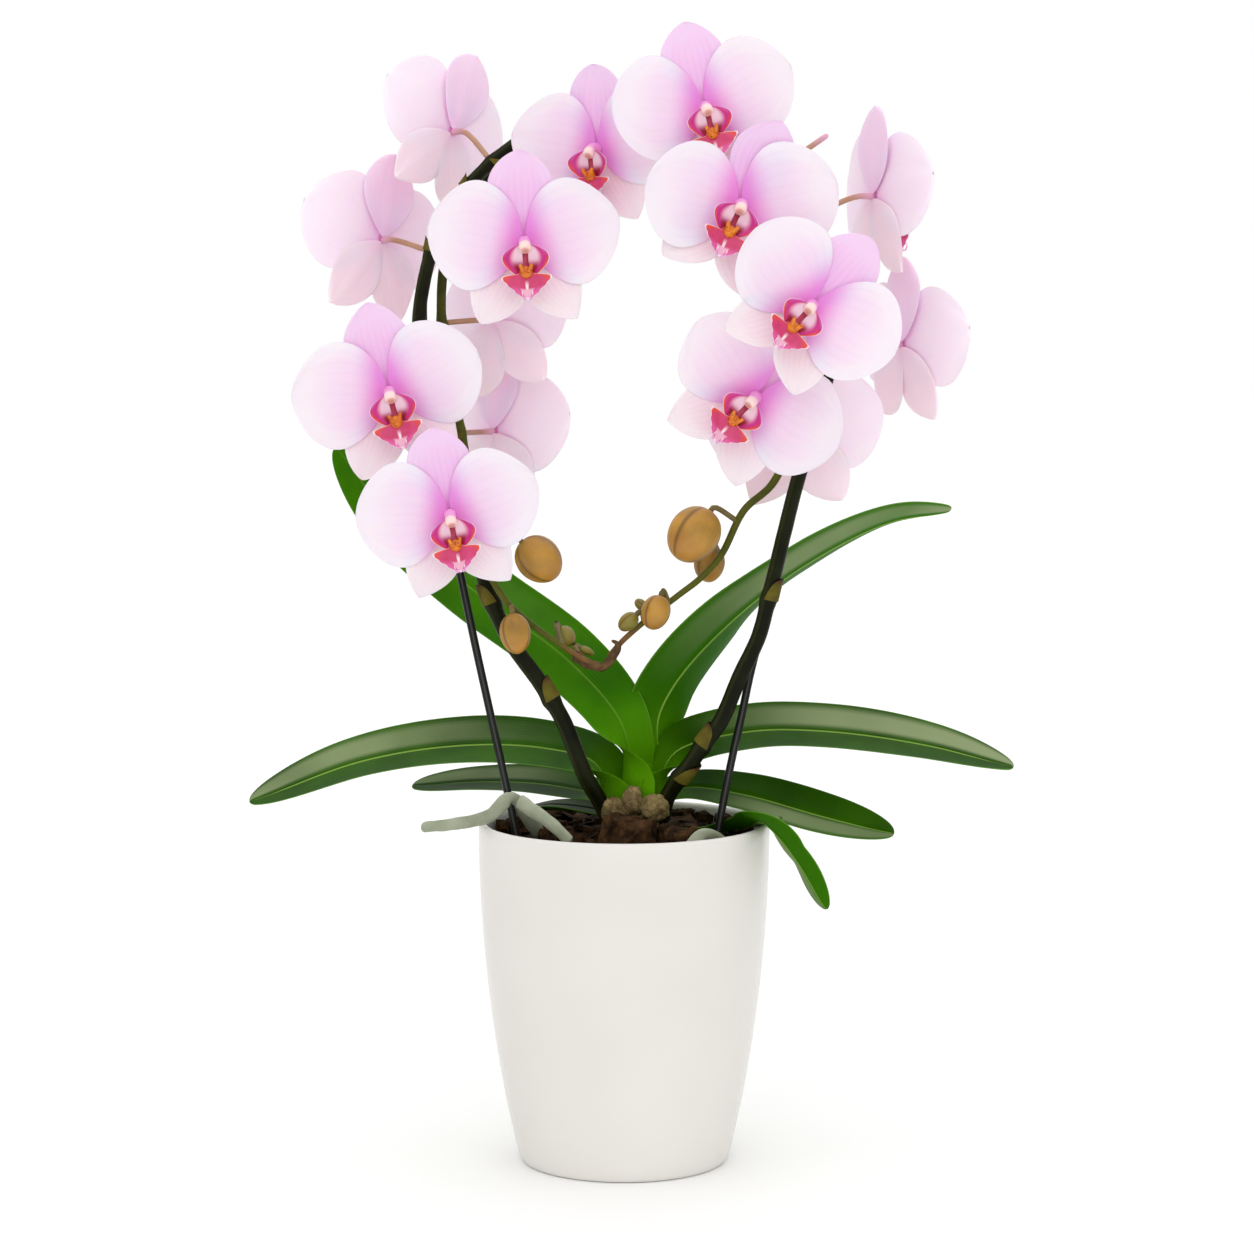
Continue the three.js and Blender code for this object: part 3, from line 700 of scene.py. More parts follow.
# %% Knobs
husk, tree, shader = new_finish("husk", Roughness=0.75, Specular_IOR_Level=0.15)
scaly = mottle(tree, spot(tree), 200.0, 5.0, 2.6)
cells = add(tree, "ShaderNodeTexVoronoi", {"Vector": spot(tree), "Scale": 330.0}, feature="DISTANCE_TO_EDGE")
crack = fade(tree, cells.outputs["Distance"], -0.16, 0.1)
broad = mottle(tree, spot(tree), 60.0, 2.0, 2.4)
colour = mix(tree, scaly, rgb(84, 68, 34), rgb(168, 148, 100))
colour = tint(tree, colour, broad, 0.55, rgb(60, 44, 22))
colour = mix(tree, crack, rgb(48, 36, 22), colour)
connect(tree, shader, colour, None, calc(tree, "ADD", scaly, crack), 0.7, 0.0008)

KNOBS = [
    ((-5, -11, 16), (6.2, 5.2, 6.2)),
    ((4, -10.5, 20), (5.2, 5.2, 7.4)),
    ((14.5, -12, 17), (7.2, 5.6, 6.8)),
    ((5, -5, 9), (11, 5, 9)),
]
bm = start_piece()
for number, (middle, half) in enumerate(KNOBS):
    ball = bmesh.ops.create_uvsphere(bm, u_segments=28, v_segments=20, radius=1)["verts"]
    for vert in ball:
        rough = noise.noise(Vector((vert.co.x * 4, vert.co.y * 4, vert.co.z * 1.6 + number * 7)))
        ring = 0.035 * math.sin(vert.co.z * 15 + 5 * rough)
        vert.co *= 1 + 0.2 * rough + ring
        vert.co = Vector([c * h for c, h in zip(vert.co, half)]) + placed([middle])[0]
for turn in range(9):
    angle = math.radians(200 + turn * 17)
    foot = Vector((5 + 11 * math.cos(angle), -3 + 6 * math.sin(angle), BARK + 10 + random.uniform(-1, 2)))
    tip = foot + Vector((2.5 * math.cos(angle), 2.5 * math.sin(angle), random.uniform(3, 7)))
    line = Line([foot, foot.lerp(tip, 0.5) + Vector((0, -0.6, 0)), tip])
    tube(bm, line, lambda t: round_ends(t, 2.0 * (1 - 0.6 * t), 0.15), 10, 8, 0.3)
finish_piece("scaly_knobs", bm, [husk], ["root_knobs"])

# %% Aerial roots
velamen, tree, shader = new_finish("velamen", Roughness=0.62)
across, along, side = form(tree)
patchy = mottle(tree, spot(tree), 90.0, 4.0, 1.6)
colour = mix(tree, patchy, rgb(132, 140, 112), rgb(186, 192, 170))
lines = veins(tree, across, along, 5.0, 0.2, 2.0)
colour = tint(tree, colour, lines, 0.3, rgb(110, 116, 84))
connect(tree, shader, colour, None, patchy, 0.4, 0.0006)

ROOTS = {
    "aerial_root_outer": [
        (-40, -4, 2), (-47, -12, 14), (-54, -19, 23),
        by_rim(-2, -159, 6.5), by_rim(16, -157, 4), by_rim(33, -158, 3),
    ],
    "aerial_root_inner": [(-50, -27, 23), (-45, -30, 20), (-34, -38, 13.5), (-25, -45, 6)],
    "aerial_root_right": [(31, -40, 2), (37, -38, 8), (44, -34, 6), (48, -30, 2)],
}
ROOT_RADIUS = 3.7
for seed, (node, points) in enumerate(ROOTS.items()):
    bm = start_piece()
    line = Line(placed(points))
    tube(
        bm, line, lambda t: round_ends(t, ROOT_RADIUS * (1 - 0.3 * t * t), 0.03), 24, 60, 0.42,
        bumps=0.1, seed=seed,
    )
    finish_piece("grown_" + node, bm, [velamen], [node])
print("roots:", len(ROOTS))

# %% [markdown]
# ## The wire hoop
#
# A coated wire holds both spikes up. It goes down into the bark at each end, so its line starts and ends below
# the surface. A shallow groove runs along it, and a painted highlight along its front shows it as one thin pale
# line.

# %% Hoop
coating, tree, shader = new_finish("wire_coating", Roughness=0.34, Specular_IOR_Level=0.22)
across, along, side = form(tree)
worn = mottle(tree, spot(tree), 160.0, 3.0, 1.6)
colour = mix(tree, worn, rgb(6, 7, 6), rgb(24, 25, 23))
# painted highlight: a thin pale line along the front of the groove, laid into the colour
groove_highlight = times(tree, fade(tree, calc(tree, "ABSOLUTE", across), 0.3, 0.1), fade(tree, side, -0.2, 0.2))
colour = tint(tree, colour, groove_highlight, 0.35, rgb(96, 100, 94))
connect(tree, shader, colour, None, worn, 0.1, 0.0002)

HOOP = [(-41, -16, -56), (-52, -16, 8), (-71, -16, 98), (-79, -9, 135), (-86, 1, 164), (-93, 8, 196)]
HOOP += [by_hoop(0, a, 13) for a in (190, 165, 140, 115, 90)]
HOOP += [by_hoop(0, 65, 10), by_hoop(0, 40, -1), by_hoop(0, 15, -6), by_hoop(0, -10, -6)]
HOOP += [(90, -5, 198), (80, -5, 160), (70, -4, 118), (61, -6, 84), (56, -12, 62), (50, -16, 35), (45, -16, 8)]
HOOP += [(34, -16, -56)]
WIRE_RADIUS = 1.9
hoop_line = Line(placed(HOOP))
bm = start_piece()


def hoop_shape(s, t, side):
    way = hoop_line.along(t)
    aside = way.cross(Vector((0, 1, 0))).normalized()
    front = aside.cross(way)
    if front.y > 0:
        front = -front
    r = round_ends(t, WIRE_RADIUS, 0.003)
    dip = 1 - 0.16 * math.exp(-((s / 0.3) ** 2)) * (side > 0)
    return hoop_line.at(t) + aside * (s * r) + front * (side * r * dip)


skin(bm, 20, 260, hoop_shape, ease=False)
finish_piece("hoop", bm, [coating], ["support_hoop"])
print("wire in the hoop:", round(hoop_line.length), "mm")

# %% [markdown]
# ## Flower spikes
#
# Two long stems leave the crown, follow the hoop over the top and cross at the tips. They are nearly black at
# the foot, olive further on and dry brown at the very end. Every joint is a little swollen and carries a
# clasping, pointed bract: a thin skin wrapped round the stem. The left spike also has a dry knot at its end and
# one bare flower stalk, so the finish of the stalks is made here too.

# %% Spike finish
stem, tree, shader = new_finish("stem", Roughness=0.4, Specular_IOR_Level=0.1)
across, along, side = form(tree)
patchy = mottle(tree, spot(tree), 70.0, 4.0, 1.8)
dark = mix(tree, patchy, rgb(6, 8, 2), rgb(30, 34, 10))
olive = mix(tree, patchy, rgb(62, 68, 18), rgb(104, 106, 36))
dry = mix(tree, patchy, rgb(92, 62, 34), rgb(150, 110, 66))
colour = mix(tree, fade(tree, along, 0.6, 0.82), dark, olive)
colour = mix(tree, fade(tree, along, 0.965, 0.985), colour, dry)
# painted highlight: a lighter olive band along one side of each stem, laid into the colour
side_highlight = times(tree, fade(tree, across, 0.2, 0.5), fade(tree, across, 0.9, 0.65))
colour = tint(tree, colour, side_highlight, 0.2, rgb(78, 84, 36))
connect(tree, shader, colour, None, patchy, 0.15, 0.0004)

bract, tree, shader = new_finish("bract", Roughness=0.6, Specular_IOR_Level=0.15)
across, along, side = form(tree)
patchy = mottle(tree, spot(tree), 120.0, 4.0, 1.6)
colour = mix(tree, patchy, rgb(62, 56, 12), rgb(112, 102, 28))
colour = mix(tree, fade(tree, along, 0.6, 1.0), colour, rgb(70, 46, 26))
lines = veins(tree, across, along, 6.0, 0.1, 2.0)
connect(tree, shader, colour, None, lines, 0.3, 0.0004)

dry_husk, tree, shader = new_finish("dry_husk", Roughness=0.8)
patchy = mottle(tree, spot(tree), 240.0, 5.0, 2.2)
connect(tree, shader, mix(tree, patchy, rgb(48, 32, 12), rgb(122, 88, 44)), None, patchy, 0.7, 0.0008)

stalk, tree, shader = new_finish("stalk", Roughness=0.45)
across, along, side = form(tree)
patchy = mottle(tree, spot(tree), 80.0, 3.0, 1.4)
colour = mix(tree, patchy, rgb(160, 118, 84), rgb(196, 150, 122))
colour = mix(tree, fade(tree, along, 0.35, 0.0), colour, rgb(226, 170, 196))
colour = mix(tree, fade(tree, along, 0.86, 1.0), colour, rgb(88, 84, 36))
connect(tree, shader, colour, None, patchy, 0.1, 0.0003)

# %% Spike shapes
SPIKE_LEFT = [(-7, -5, 9), (-11, -9, 19), (-18, -14, 32), (-29, -18, 60), (-39, -18, 77), (-54, -16, 98)]
SPIKE_LEFT += [(-64, -14, 120), (-69, -12, 138), (-80, -8, 164), by_hoop(7, -151, -4), by_hoop(1, -167, -2)]
SPIKE_LEFT += [by_hoop(0, 178, -2), by_hoop(0, 155, -2), by_hoop(0, 140, -2), by_hoop(1, 115, -2)]
SPIKE_LEFT += [by_hoop(2, 90, -2), by_hoop(2, 66, -6), by_hoop(1, 44, -16), by_hoop(-3, 22, -22)]
SPIKE_LEFT += [by_hoop(-7, 0, -22), by_hoop(-5, -20, -18), (71, -10, 173), (57, -5, 159), (46, -2, 137)]
SPIKE_LEFT += [(36, -2, 126), (27, -2, 119), (9, -2, 105), (-1, -2, 96), (-8, -2, 88)]
SPIKE_RIGHT = [(18, -5, 9), (20, -8, 20), (24, -12, 28), (30, -16, 37), (38, -18, 49), (46, -18, 60)]
SPIKE_RIGHT += [(55, -16, 81), (64, -14, 100), (69, -14, 120), (76, -15, 150), (82, -15, 174)]
SPIKE_RIGHT += [by_hoop(6, -30, -15), by_hoop(2, -14, -14), by_hoop(1, 8, -14), by_hoop(1, 30, -11)]
SPIKE_RIGHT += [by_hoop(0, 55, -3), by_hoop(-1, 80, 4), by_hoop(-2, 105, 6), by_hoop(-5, 134, 6)]
SPIKE_RIGHT += [by_hoop(-6, 155, 6), by_hoop(-10, 178, 6), by_hoop(-11, -165, 4), (-74, -2, 178)]
SPIKE_RIGHT += [(-70, -12, 155), (-65, -22, 134), (-56, -24, 118), (-44, -18, 106), (-30, -10, 95)]
SPIKE_RIGHT += [(-20, -5, 88), (-13, -3, 84)]
spikes = {"spike_left": Line(placed(SPIKE_LEFT)), "spike_right": Line(placed(SPIKE_RIGHT))}
SPIKE_RADII = {"spike_left": (4, 3.6, 2.8, 2.2, 1.3), "spike_right": (4, 3.4, 2.8, 2.2, 1.3)}
LOW_JOINTS = {
    "spike_left": [(-35, -16, 70), (-62, -14, 116)],
    "spike_right": [(24, -17, 32), (38, -16, 48), (68, -14, 117)],
}

FLOWERS = [
    ((6, 69, -60), (2, 6, 13), 0.95, "spike_left"),
    ((-17, 99, -28), (-25, 0, 3), 0.92, "spike_left"),
    ((-23, 45, -74), (5, 1, -26), 0.99, "spike_left"),
    ((-39, 142, -46), (2, 0, 3), 1, "spike_left"),
    ((-13, 5, -88), (3, 1, -43), 0.96, "spike_left"),
    ((-28, -30, -64), (-6, -4, -44), 0.98, "spike_left"),
    ((16, -163, -46), (2, 0, 14), 1, "spike_left"),
    ((22, -132, -64), (3, -4, 11), 0.96, "spike_left"),
    ((25, 133, 26), (-134, 0, 25), 0.95, "spike_left"),
    ((26, 162, 26), (-138, 0, 12), 0.98, "spike_left"),
    ((-36, 180, 20), (140, 0, -12), 0.95, "spike_right"),
    ((-14, -139, 40), (140, 0, 0), 0.95, "spike_right"),
    ((36, 26, 10), (113, 0, 0), 1, "spike_right"),
    ((37, -5, 10), (121, 2, 2), 0.97, "spike_right"),
    ((0, -33, 14), (176, 0, -3), 0.98, "spike_right"),
]


def flower_frame(place, turns, size):
    faces, nods, leans = (math.radians(a) for a in turns)
    spin = Matrix.Rotation(faces, 4, "Z") @ Matrix.Rotation(math.pi / 2 - nods, 4, "X")
    spin = spin @ Matrix.Rotation(leans, 4, "Z")
    return Matrix.Translation(placed([by_hoop(*place)])[0]) @ spin @ Matrix.Scale(size, 4)


flower_frames = [flower_frame(place, turns, size) for place, turns, size, _ in FLOWERS]
joints = {name: [line.nearest(p) for p in placed(LOW_JOINTS[name])] for name, line in spikes.items()}
for stand, (_, _, _, spike) in zip(flower_frames, FLOWERS):
    joints[spike].append(spikes[spike].nearest(stand @ Vector((0, 0, -12))))


def spike_radius(name, t):
    radii = SPIKE_RADII[name]
    share = min(max(t, 0), 0.9999) * (len(radii) - 1)
    low = int(share)
    full = radii[low] + (radii[low + 1] - radii[low]) * (share - low)
    length = spikes[name].length
    swell = sum(0.22 * math.exp(-(((t - j) * length / 3.2) ** 2)) for j in joints[name])
    return full * (1 + min(swell, 0.3))


def add_bract(bm, name, t, reach, flip, lean):
    """A pointed scale that clasps the stem at t and leans off it towards its tip."""
    line = spikes[name]

    def shape(s, u, side):
        here = t + (u * reach) / line.length
        way = line.along(t)
        aside = way.cross(Vector((0, 1, 0))).normalized() * flip
        front = aside.cross(way)
        turn = s * 2.1 * max(0, 1 - u) ** (0.25 if lean < 1 else 0.7)
        r = spike_radius(name, t) + 0.3 + lean * u * u + 0.25 * side * (1 - u)
        out = aside * math.cos(turn) + front * math.sin(turn)
        return line.at(here) + out * r

    skin(bm, 24, 10, shape, 1)


for name, line in spikes.items():
    bm = start_piece()
    tube(
        bm, line, lambda t: round_ends(t, spike_radius(name, t), 0.004), 18, 420,
        bumps=0.02, seed=3,
    )
    for number, t in enumerate(joints[name]):
        low = number < len(LOW_JOINTS[name])
        add_bract(bm, name, t, 11 if low else 6.5, 1 if number % 2 else -1, 0.2 if low else 1.0)
    if name == "spike_left":
        knot = [(-24, -4, 91), (-17, -4, 85.5), (-10, -5, 84.5), (-5, -5, 89), (-3, -5, 95), (-6, -6, 97)]
        tube(bm, Line(placed(knot)), lambda t: round_ends(t, 3.0 - 1.9 * t, 0.1), 16, 40, 0.5, 2, 0.7, 8)
        stub = [(96, -5, 336), (88, -6, 330.5), (80, -10, 325), (71, -15, 318)]
        tube(bm, Line(placed(stub)), lambda t: round_ends(t, 1.3 + 0.2 * t, 0.06), 12, 20, material=3)
    finish_piece("grown_" + name, bm, [stem, bract, dry_husk, stalk], [name])
    print(name, "is", round(line.length), "mm long with", len(joints[name]), "joints")

# %% [markdown]
# ## Petal finishes
#
# The flower has petals and sepals. The two broad petals at the sides are nearly white, with a strong pink glow
# only where they meet the column. The sepal at the top is lilac with a few darker lines. The two lower sepals
# are creamy pink with fine lines. Light passes through thin blades: subsurface scattering gives some of it.
# The backs are paler, and are also painted brighter and given a faint painted glow of their own: painted light
# that stands in for the light shining through and keeps them from going grey.


# %% Petal finishes
def petal_finish(name, rim, middle, foot, line_colour, line_share, foot_end, lit_back):
    # Emission_Strength is a faint painted glow; its colour is set only on the backs, below
    material, tree, shader = new_finish(
        name, Roughness=0.55, Subsurface_Weight=0.25, Subsurface_Scale=0.004, Emission_Strength=0.05
    )
    across, along, side = form(tree)
    wide = calc(tree, "ABSOLUTE", across)
    cloud = mottle(tree, spot(tree), 45.0, 2.0, 1.2)
    outer = calc(tree, "ADD", fade(tree, along, 0.25, 1.0), times(tree, fade(tree, wide, 0.5, 1.0), 0.7))
    cloudy = times(tree, cloud, 0.25)
    outer = add(tree, "ShaderNodeMath", {0: outer, 1: cloudy}, operation="ADD", use_clamp=True)
    colour = mix(tree, outer.outputs[0], middle, rim)
    lines = veins(tree, across, along, 5.0, 0.12, 9.0)
    strength = times(tree, fade(tree, along, 1.0, 0.35), line_share)
    colour = mix(tree, times(tree, lines, strength), colour, line_colour)
    glow = calc(tree, "POWER", fade(tree, along, foot_end, 0.04), 1.4)
    colour = mix(tree, glow, colour, foot)
    # the back side is paler, and is also painted brighter and glows faintly through Emission: painted light
    # standing in for light shining through
    behind = fade(tree, side, 0.1, -0.3)
    colour = tint(tree, colour, behind, 0.7, lit_back)
    tree.links.new(mix(tree, behind, (0, 0, 0, 1), lit_back), shader.inputs["Emission Color"])
    connect(tree, shader, colour, None, lines, 0.08, 0.0003)
    return material


petal = petal_finish(
    "petal",
    rim=rgb(243, 231, 240), middle=rgb(240, 210, 236), foot=rgb(233, 132, 215), line_colour=rgb(226, 178, 222),
    line_share=0.08, foot_end=0.42, lit_back=rgb(252, 234, 248),
)
top_sepal = petal_finish(
    "top_sepal",
    rim=rgb(238, 204, 236), middle=rgb(234, 182, 230), foot=rgb(230, 140, 216), line_colour=rgb(216, 148, 208),
    line_share=0.18, foot_end=0.34, lit_back=rgb(250, 222, 242),
)
low_sepal = petal_finish(
    "low_sepal",
    rim=rgb(243, 228, 234), middle=rgb(240, 212, 227), foot=rgb(230, 160, 204), line_colour=rgb(220, 174, 202),
    line_share=0.18, foot_end=0.34, lit_back=rgb(254, 226, 238),
)

# %% [markdown]
# ## Lip finishes
#
# The lip is the showy part: magenta lobes with an orange-red rim and a thin pale margin, a dark red throat, a
# pink column with a cream cap, and an orange callus with two prongs and dark red freckles. The masks come from
# `form`, so they sit in the same place on every flower.

# %% Lip finishes
lobe, tree, shader = new_finish("lobe", Roughness=0.38, Subsurface_Weight=0.12, Subsurface_Scale=0.002)
across, along, side = form(tree)
cloud = mottle(tree, spot(tree), 220.0, 2.0, 1.4)
colour = mix(tree, cloud, rgb(196, 30, 128), rgb(214, 60, 150))
inside = times(tree, fade(tree, across, 0.25, -0.35), fade(tree, along, 0.25, 0.65))
colour = mix(tree, inside, colour, rgb(240, 206, 222))
throat = times(tree, fade(tree, across, 0.1, -0.35), fade(tree, along, 0.55, 0.3))
colour = mix(tree, throat, colour, rgb(150, 16, 48))
flame = times(tree, fade(tree, across, 0.35, 0.8), fade(tree, along, 0.75, 0.35))
colour = mix(tree, flame, colour, rgb(232, 84, 44))
upper = times(tree, fade(tree, across, 0.3, 0.8), fade(tree, along, 0.6, 0.9))
colour = mix(tree, upper, colour, rgb(222, 120, 206))
colour = mix(tree, fade(tree, across, 0.91, 0.96), colour, rgb(252, 232, 240))
connect(tree, shader, colour)

wings, tree, shader = new_finish("wings", Roughness=0.38, Subsurface_Weight=0.12, Subsurface_Scale=0.002)
across, along, side = form(tree)
wide = calc(tree, "ABSOLUTE", across)
cloud = mottle(tree, spot(tree), 220.0, 2.0, 1.4)
colour = mix(tree, cloud, rgb(192, 34, 92), rgb(214, 66, 122))
colour = mix(tree, fade(tree, along, 0.5, 0.85), colour, rgb(224, 92, 166))
rim = times(tree, fade(tree, wide, 0.6, 0.9), fade(tree, along, 0.6, 0.3))
colour = mix(tree, rim, colour, rgb(222, 70, 42))
ridge = times(tree, fade(tree, wide, 0.09, 0.03), fade(tree, along, 0.25, 0.5))
colour = mix(tree, ridge, colour, rgb(246, 222, 226))
pale = times(tree, fade(tree, wide, 0.4, 0.26), fade(tree, along, 0.56, 0.66))
colour = mix(tree, pale, colour, rgb(234, 176, 200))
colour = mix(tree, fade(tree, along, 0.88, 0.94), colour, rgb(244, 232, 236))
colour = mix(tree, fade(tree, wide, 0.92, 0.97), colour, rgb(252, 232, 240))
connect(tree, shader, colour)

column, tree, shader = new_finish("column", Roughness=0.4, Subsurface_Weight=0.2, Subsurface_Scale=0.003)
across, along, side = form(tree)
cloud = mottle(tree, spot(tree), 160.0, 2.0, 1.2)
colour = mix(tree, cloud, rgb(232, 140, 208), rgb(242, 176, 222))
colour = mix(tree, fade(tree, along, 0.66, 0.76), colour, rgb(250, 220, 214))
colour = mix(tree, fade(tree, along, 0.95, 1.0), colour, rgb(214, 150, 140))
connect(tree, shader, colour)

callus, tree, shader = new_finish("callus", Roughness=0.35)
spots = add(tree, "ShaderNodeTexVoronoi", {"Vector": spot(tree), "Scale": 620.0})
colour = mix(tree, mottle(tree, spot(tree), 260.0, 2.0, 1.8), rgb(206, 96, 14), rgb(238, 148, 30))
colour = mix(tree, fade(tree, spots.outputs["Distance"], 0.3, 0.16), colour, rgb(136, 24, 20))
connect(tree, shader, colour)

# %% [markdown]
# ## Flower shapes
#
# Everything in a flower is measured from the point where its petals meet: x to its right, y up and z out of its
# face. A blade leaves that point in its own direction, swells to its full width and closes at the tip. It cups
# forward a little, and a slow wave runs round its rim, with a different phase on each flower.

# %% Blades
WIDE = 20
TOP = 90
TEPALS = [
    (TOP, 43, 15.5, 1.7, 1, 1),
    (238, 42, 13.5, 1.7, 4, 2),
    (302, 42, 13.5, 1.7, 4, 2),
    (13, 45, 25, 0, 7, 0),
    (167, 45, 25, 0, 7, 0),
]


def tepal_shape(direction, length, half, behind, cups, phase):
    turn = math.radians(direction)
    forth = Vector((math.cos(turn), math.sin(turn), 0))
    aside = Vector((-math.sin(turn), math.cos(turn), 0))

    def shape(s, t, side):
        power, fullness = (1, 0.56) if half > WIDE else (1.2, 0.62) if direction == TOP else (1.05, 0.74)
        width = half * max(0, math.sin(math.pi * t**power)) ** fullness
        rim = s * s
        wave = 0.9 * math.sin(5 * t + 2.3 * s + phase) * rim * math.sin(math.pi * t) ** 0.5
        notch = (12 * math.sin(4 * s + phase) + 7 * math.sin(9 * s + 2 * phase)) * t**4 * (1 - t)
        width *= 1 + 0.03 * math.sin(6 * t + phase + s)
        ahead = cups * t * t + 0.9 * rim * t - behind + wave
        ridge = -0.5 * math.exp(-((s / 0.12) ** 2)) * math.sin(math.pi * t)
        thick = 0.45 * abs(side) ** 0.6 * math.sin(math.pi * min(max(t, 0), 1)) ** 0.4
        lift = Vector((0, 0, ahead + ridge + math.copysign(thick, side)))
        return forth * (1.2 + (length - 1.2) * t + notch) + aside * (s * width) + lift

    return shape


def stem_between(bm, points, radius, material, around=12, along=14):
    tube(bm, Line(points), lambda t: round_ends(t, radius(t), 0.08), around, along, material=material)


STALK_RADIUS = 1.35
PETAL_DROOP = {3: 25}
for number, (stand, (_, _, _, spike)) in enumerate(zip(flower_frames, FLOWERS), 1):
    bm = start_piece()
    for direction, length, half, behind, cups, material in TEPALS:
        phase = number * 1.7 + direction
        fine = (40, 30) if half > WIDE else (32, 26)
        direction += PETAL_DROOP.get(number, 0) if half > WIDE else 0
        skin(bm, *fine, tepal_shape(direction, length, half, behind, cups, phase), material)
    bmesh.ops.transform(bm, matrix=stand, verts=bm.verts)
    earlier = sum(flower[3] == spike for flower in FLOWERS[: number - 1])
    joint = spikes[spike].at(joints[spike][len(LOW_JOINTS[spike]) + earlier])
    points = [stand @ Vector((0, 0, -0.6)), stand @ Vector((0, 0, -10)), joint]
    stem_between(bm, points, lambda t: STALK_RADIUS + 0.5 * math.exp(-((t / 0.12) ** 2)), 3)
    blades = [petal, top_sepal, low_sepal, stalk]
    finish_piece(f"blossom_{number:02d}", bm, blades, [f"flower_{number:02d}"])
flower_faces = sum(len(piece.data.polygons) for piece in made if "blossom" in piece.name)
print("flowers:", len(FLOWERS), "with", flower_faces, "faces")

# %% [markdown]
# ## Lips
#
# The lip stands in front of the petals. A curved column ends in a round cap. Below it two side lobes stand up
# like cupped hands, and the front lobe spreads to two corners and narrows again, with two thread-like tendrils
# at its tip. The callus between them has two prongs. Each of these is one more skin with its own small formula.
# One flower goes without tendrils, because they would cut through the petal in front of it.


# %% Lip shapes
def stepped(t, table):
    """Reads a value out of a short table of (place, value) pairs, softly between them."""
    for (a, low), (b, high) in zip(table, table[1:]):
        if t <= b:
            share = (t - a) / (b - a)
            return low + (high - low) * share * share * (3 - 2 * share)
    return table[-1][1]


def side_lobe(way):
    def shape(s, t, side):
        swell = max(0, math.sin(math.pi * t**1.25)) ** 0.6
        middle = Vector((way * (1.9 + 5.0 * swell), -15.5 + 15 * t, 8 + 1.5 * t))
        out = Vector((way * 0.86, 0.05, 0.42))
        curl = Vector((way * -0.5, 0, 1)) * (1.6 * s * s * swell)
        through = Vector((way * -0.42, 0, 0.86)) * (0.32 * math.copysign(abs(side) ** 0.6, side) * swell)
        return middle + out * (s * 5.6 * swell) + curl + through

    return shape


FRONT_LOBE = [
    (0, 0), (0.05, 2.6), (0.12, 4.2), (0.2, 9.4), (0.28, 11.6),
    (0.42, 11.5), (0.6, 9.4), (0.78, 6), (0.92, 2.8), (1, 0),
]


def front_lobe(s, t, side):
    width = stepped(t, FRONT_LOBE)
    down = -13.2 - 12.8 * t + 2.6 * abs(s) ** 1.5 * math.sin(math.pi * t)
    keel = 0.9 * math.exp(-((s / 0.16) ** 2)) * (1 - t)
    ahead = 9 + 4.5 * t + 1.6 * s * s * math.sin(math.pi * t) - keel
    thick = 0.4 * math.copysign(abs(side) ** 0.6, side) * min(1, width / 1.5)
    return Vector((s * width, down, ahead + thick))


def add_lip(bm, tendrils):
    for way in (-1, 1):
        skin(bm, 26, 18, side_lobe(way), 0)
    skin(bm, 36, 30, front_lobe, 1)
    arch = line_of((0, 0.2, -0.5), (0, 0.9, 4), (0, -0.4, 8), (0, -3.4, 11.2))
    tube(bm, arch, lambda t: round_ends(t, 3.3 - 0.7 * math.sin(math.pi * t), 0.14), 20, 20, material=2)
    throat = line_of((0, -2.5, 4), (0, -7, 5.5), (0, -12, 6.5), (0, -15, 9.5))
    tube(bm, throat, lambda t: round_ends(t, 4.0, 0.15), 16, 12, flat=0.25, material=4)
    skin(bm, 16, 12, callus_body, 3)
    for way in (-1, 1):
        prong = line_of((way * 1.1, -13.5, 10.8), (way * 1.9, -11.6, 12), (way * 2.8, -9.2, 12.6))
        tube(bm, prong, lambda t: round_ends(t, 1.45 - 0.45 * t, 0.2), 10, 8, flat=0.8, material=3)
        if not tendrils:
            continue
        thread = line_of(
            (way * 0.8, -25, 13.2), (way * 1.6, -25.4, 15), (way * 2.4, -23.2, 15.8), (way * 2.2, -21.4, 15)
        )
        tube(bm, thread, lambda t: round_ends(t, 0.4 - 0.15 * t, 0.1), 8, 10, material=2)


def callus_body(s, t, side):
    girth = math.sin(math.pi * t)
    return Vector((2.9 * s * girth, -13.2 - 2.9 * math.cos(math.pi * t), 9.8 + 2.0 * side * girth))


throat_red, tree, shader = new_finish("throat", Roughness=0.5)
cloud = mottle(tree, spot(tree), 300.0, 3.0, 1.8)
connect(tree, shader, mix(tree, cloud, rgb(166, 30, 62), rgb(206, 80, 110)))

for number, stand in enumerate(flower_frames, 1):
    bm = start_piece()
    add_lip(bm, number != 1)
    bmesh.ops.transform(bm, matrix=stand, verts=bm.verts)
    parts = [lobe, wings, column, callus, throat_red]
    finish_piece(f"lip_of_{number:02d}", bm, parts, [f"lip_{number:02d}"])
print("lips made:", len(flower_frames))

# %% [markdown]
# ## Buds
#
# The unopened buds are plump eggs whose sepals meet in low seams at the tip. The largest are tan with a pink
# flush and the smallest are still green. Three shallow furrows along a skin make the seams.

# %% Bud finish
def bud_finish(name, low, high, flush):
    material, tree, shader = new_finish(name, Roughness=0.45, Subsurface_Weight=0.1, Subsurface_Scale=0.003)
    across, along, side = form(tree)
    cloud = mottle(tree, spot(tree), 70.0, 3.0, 2.0)
    colour = mix(tree, cloud, low, high)
    colour = tint(tree, colour, fade(tree, along, 0.45, 1.0), 0.35, flush)
    lines = veins(tree, across, along, 7.0, 0.08, 4.0)
    colour = tint(tree, colour, lines, 0.3, flush)
    turn = times(tree, calc(tree, "ARCTAN2", side, across), 1.5)
    seam = calc(tree, "POWER", calc(tree, "ABSOLUTE", calc(tree, "COSINE", turn)), 60.0)
    colour = tint(tree, colour, seam, 0.8, rgb(104, 70, 26))
    connect(tree, shader, colour, None, lines, 0.1, 0.0003)
    return material


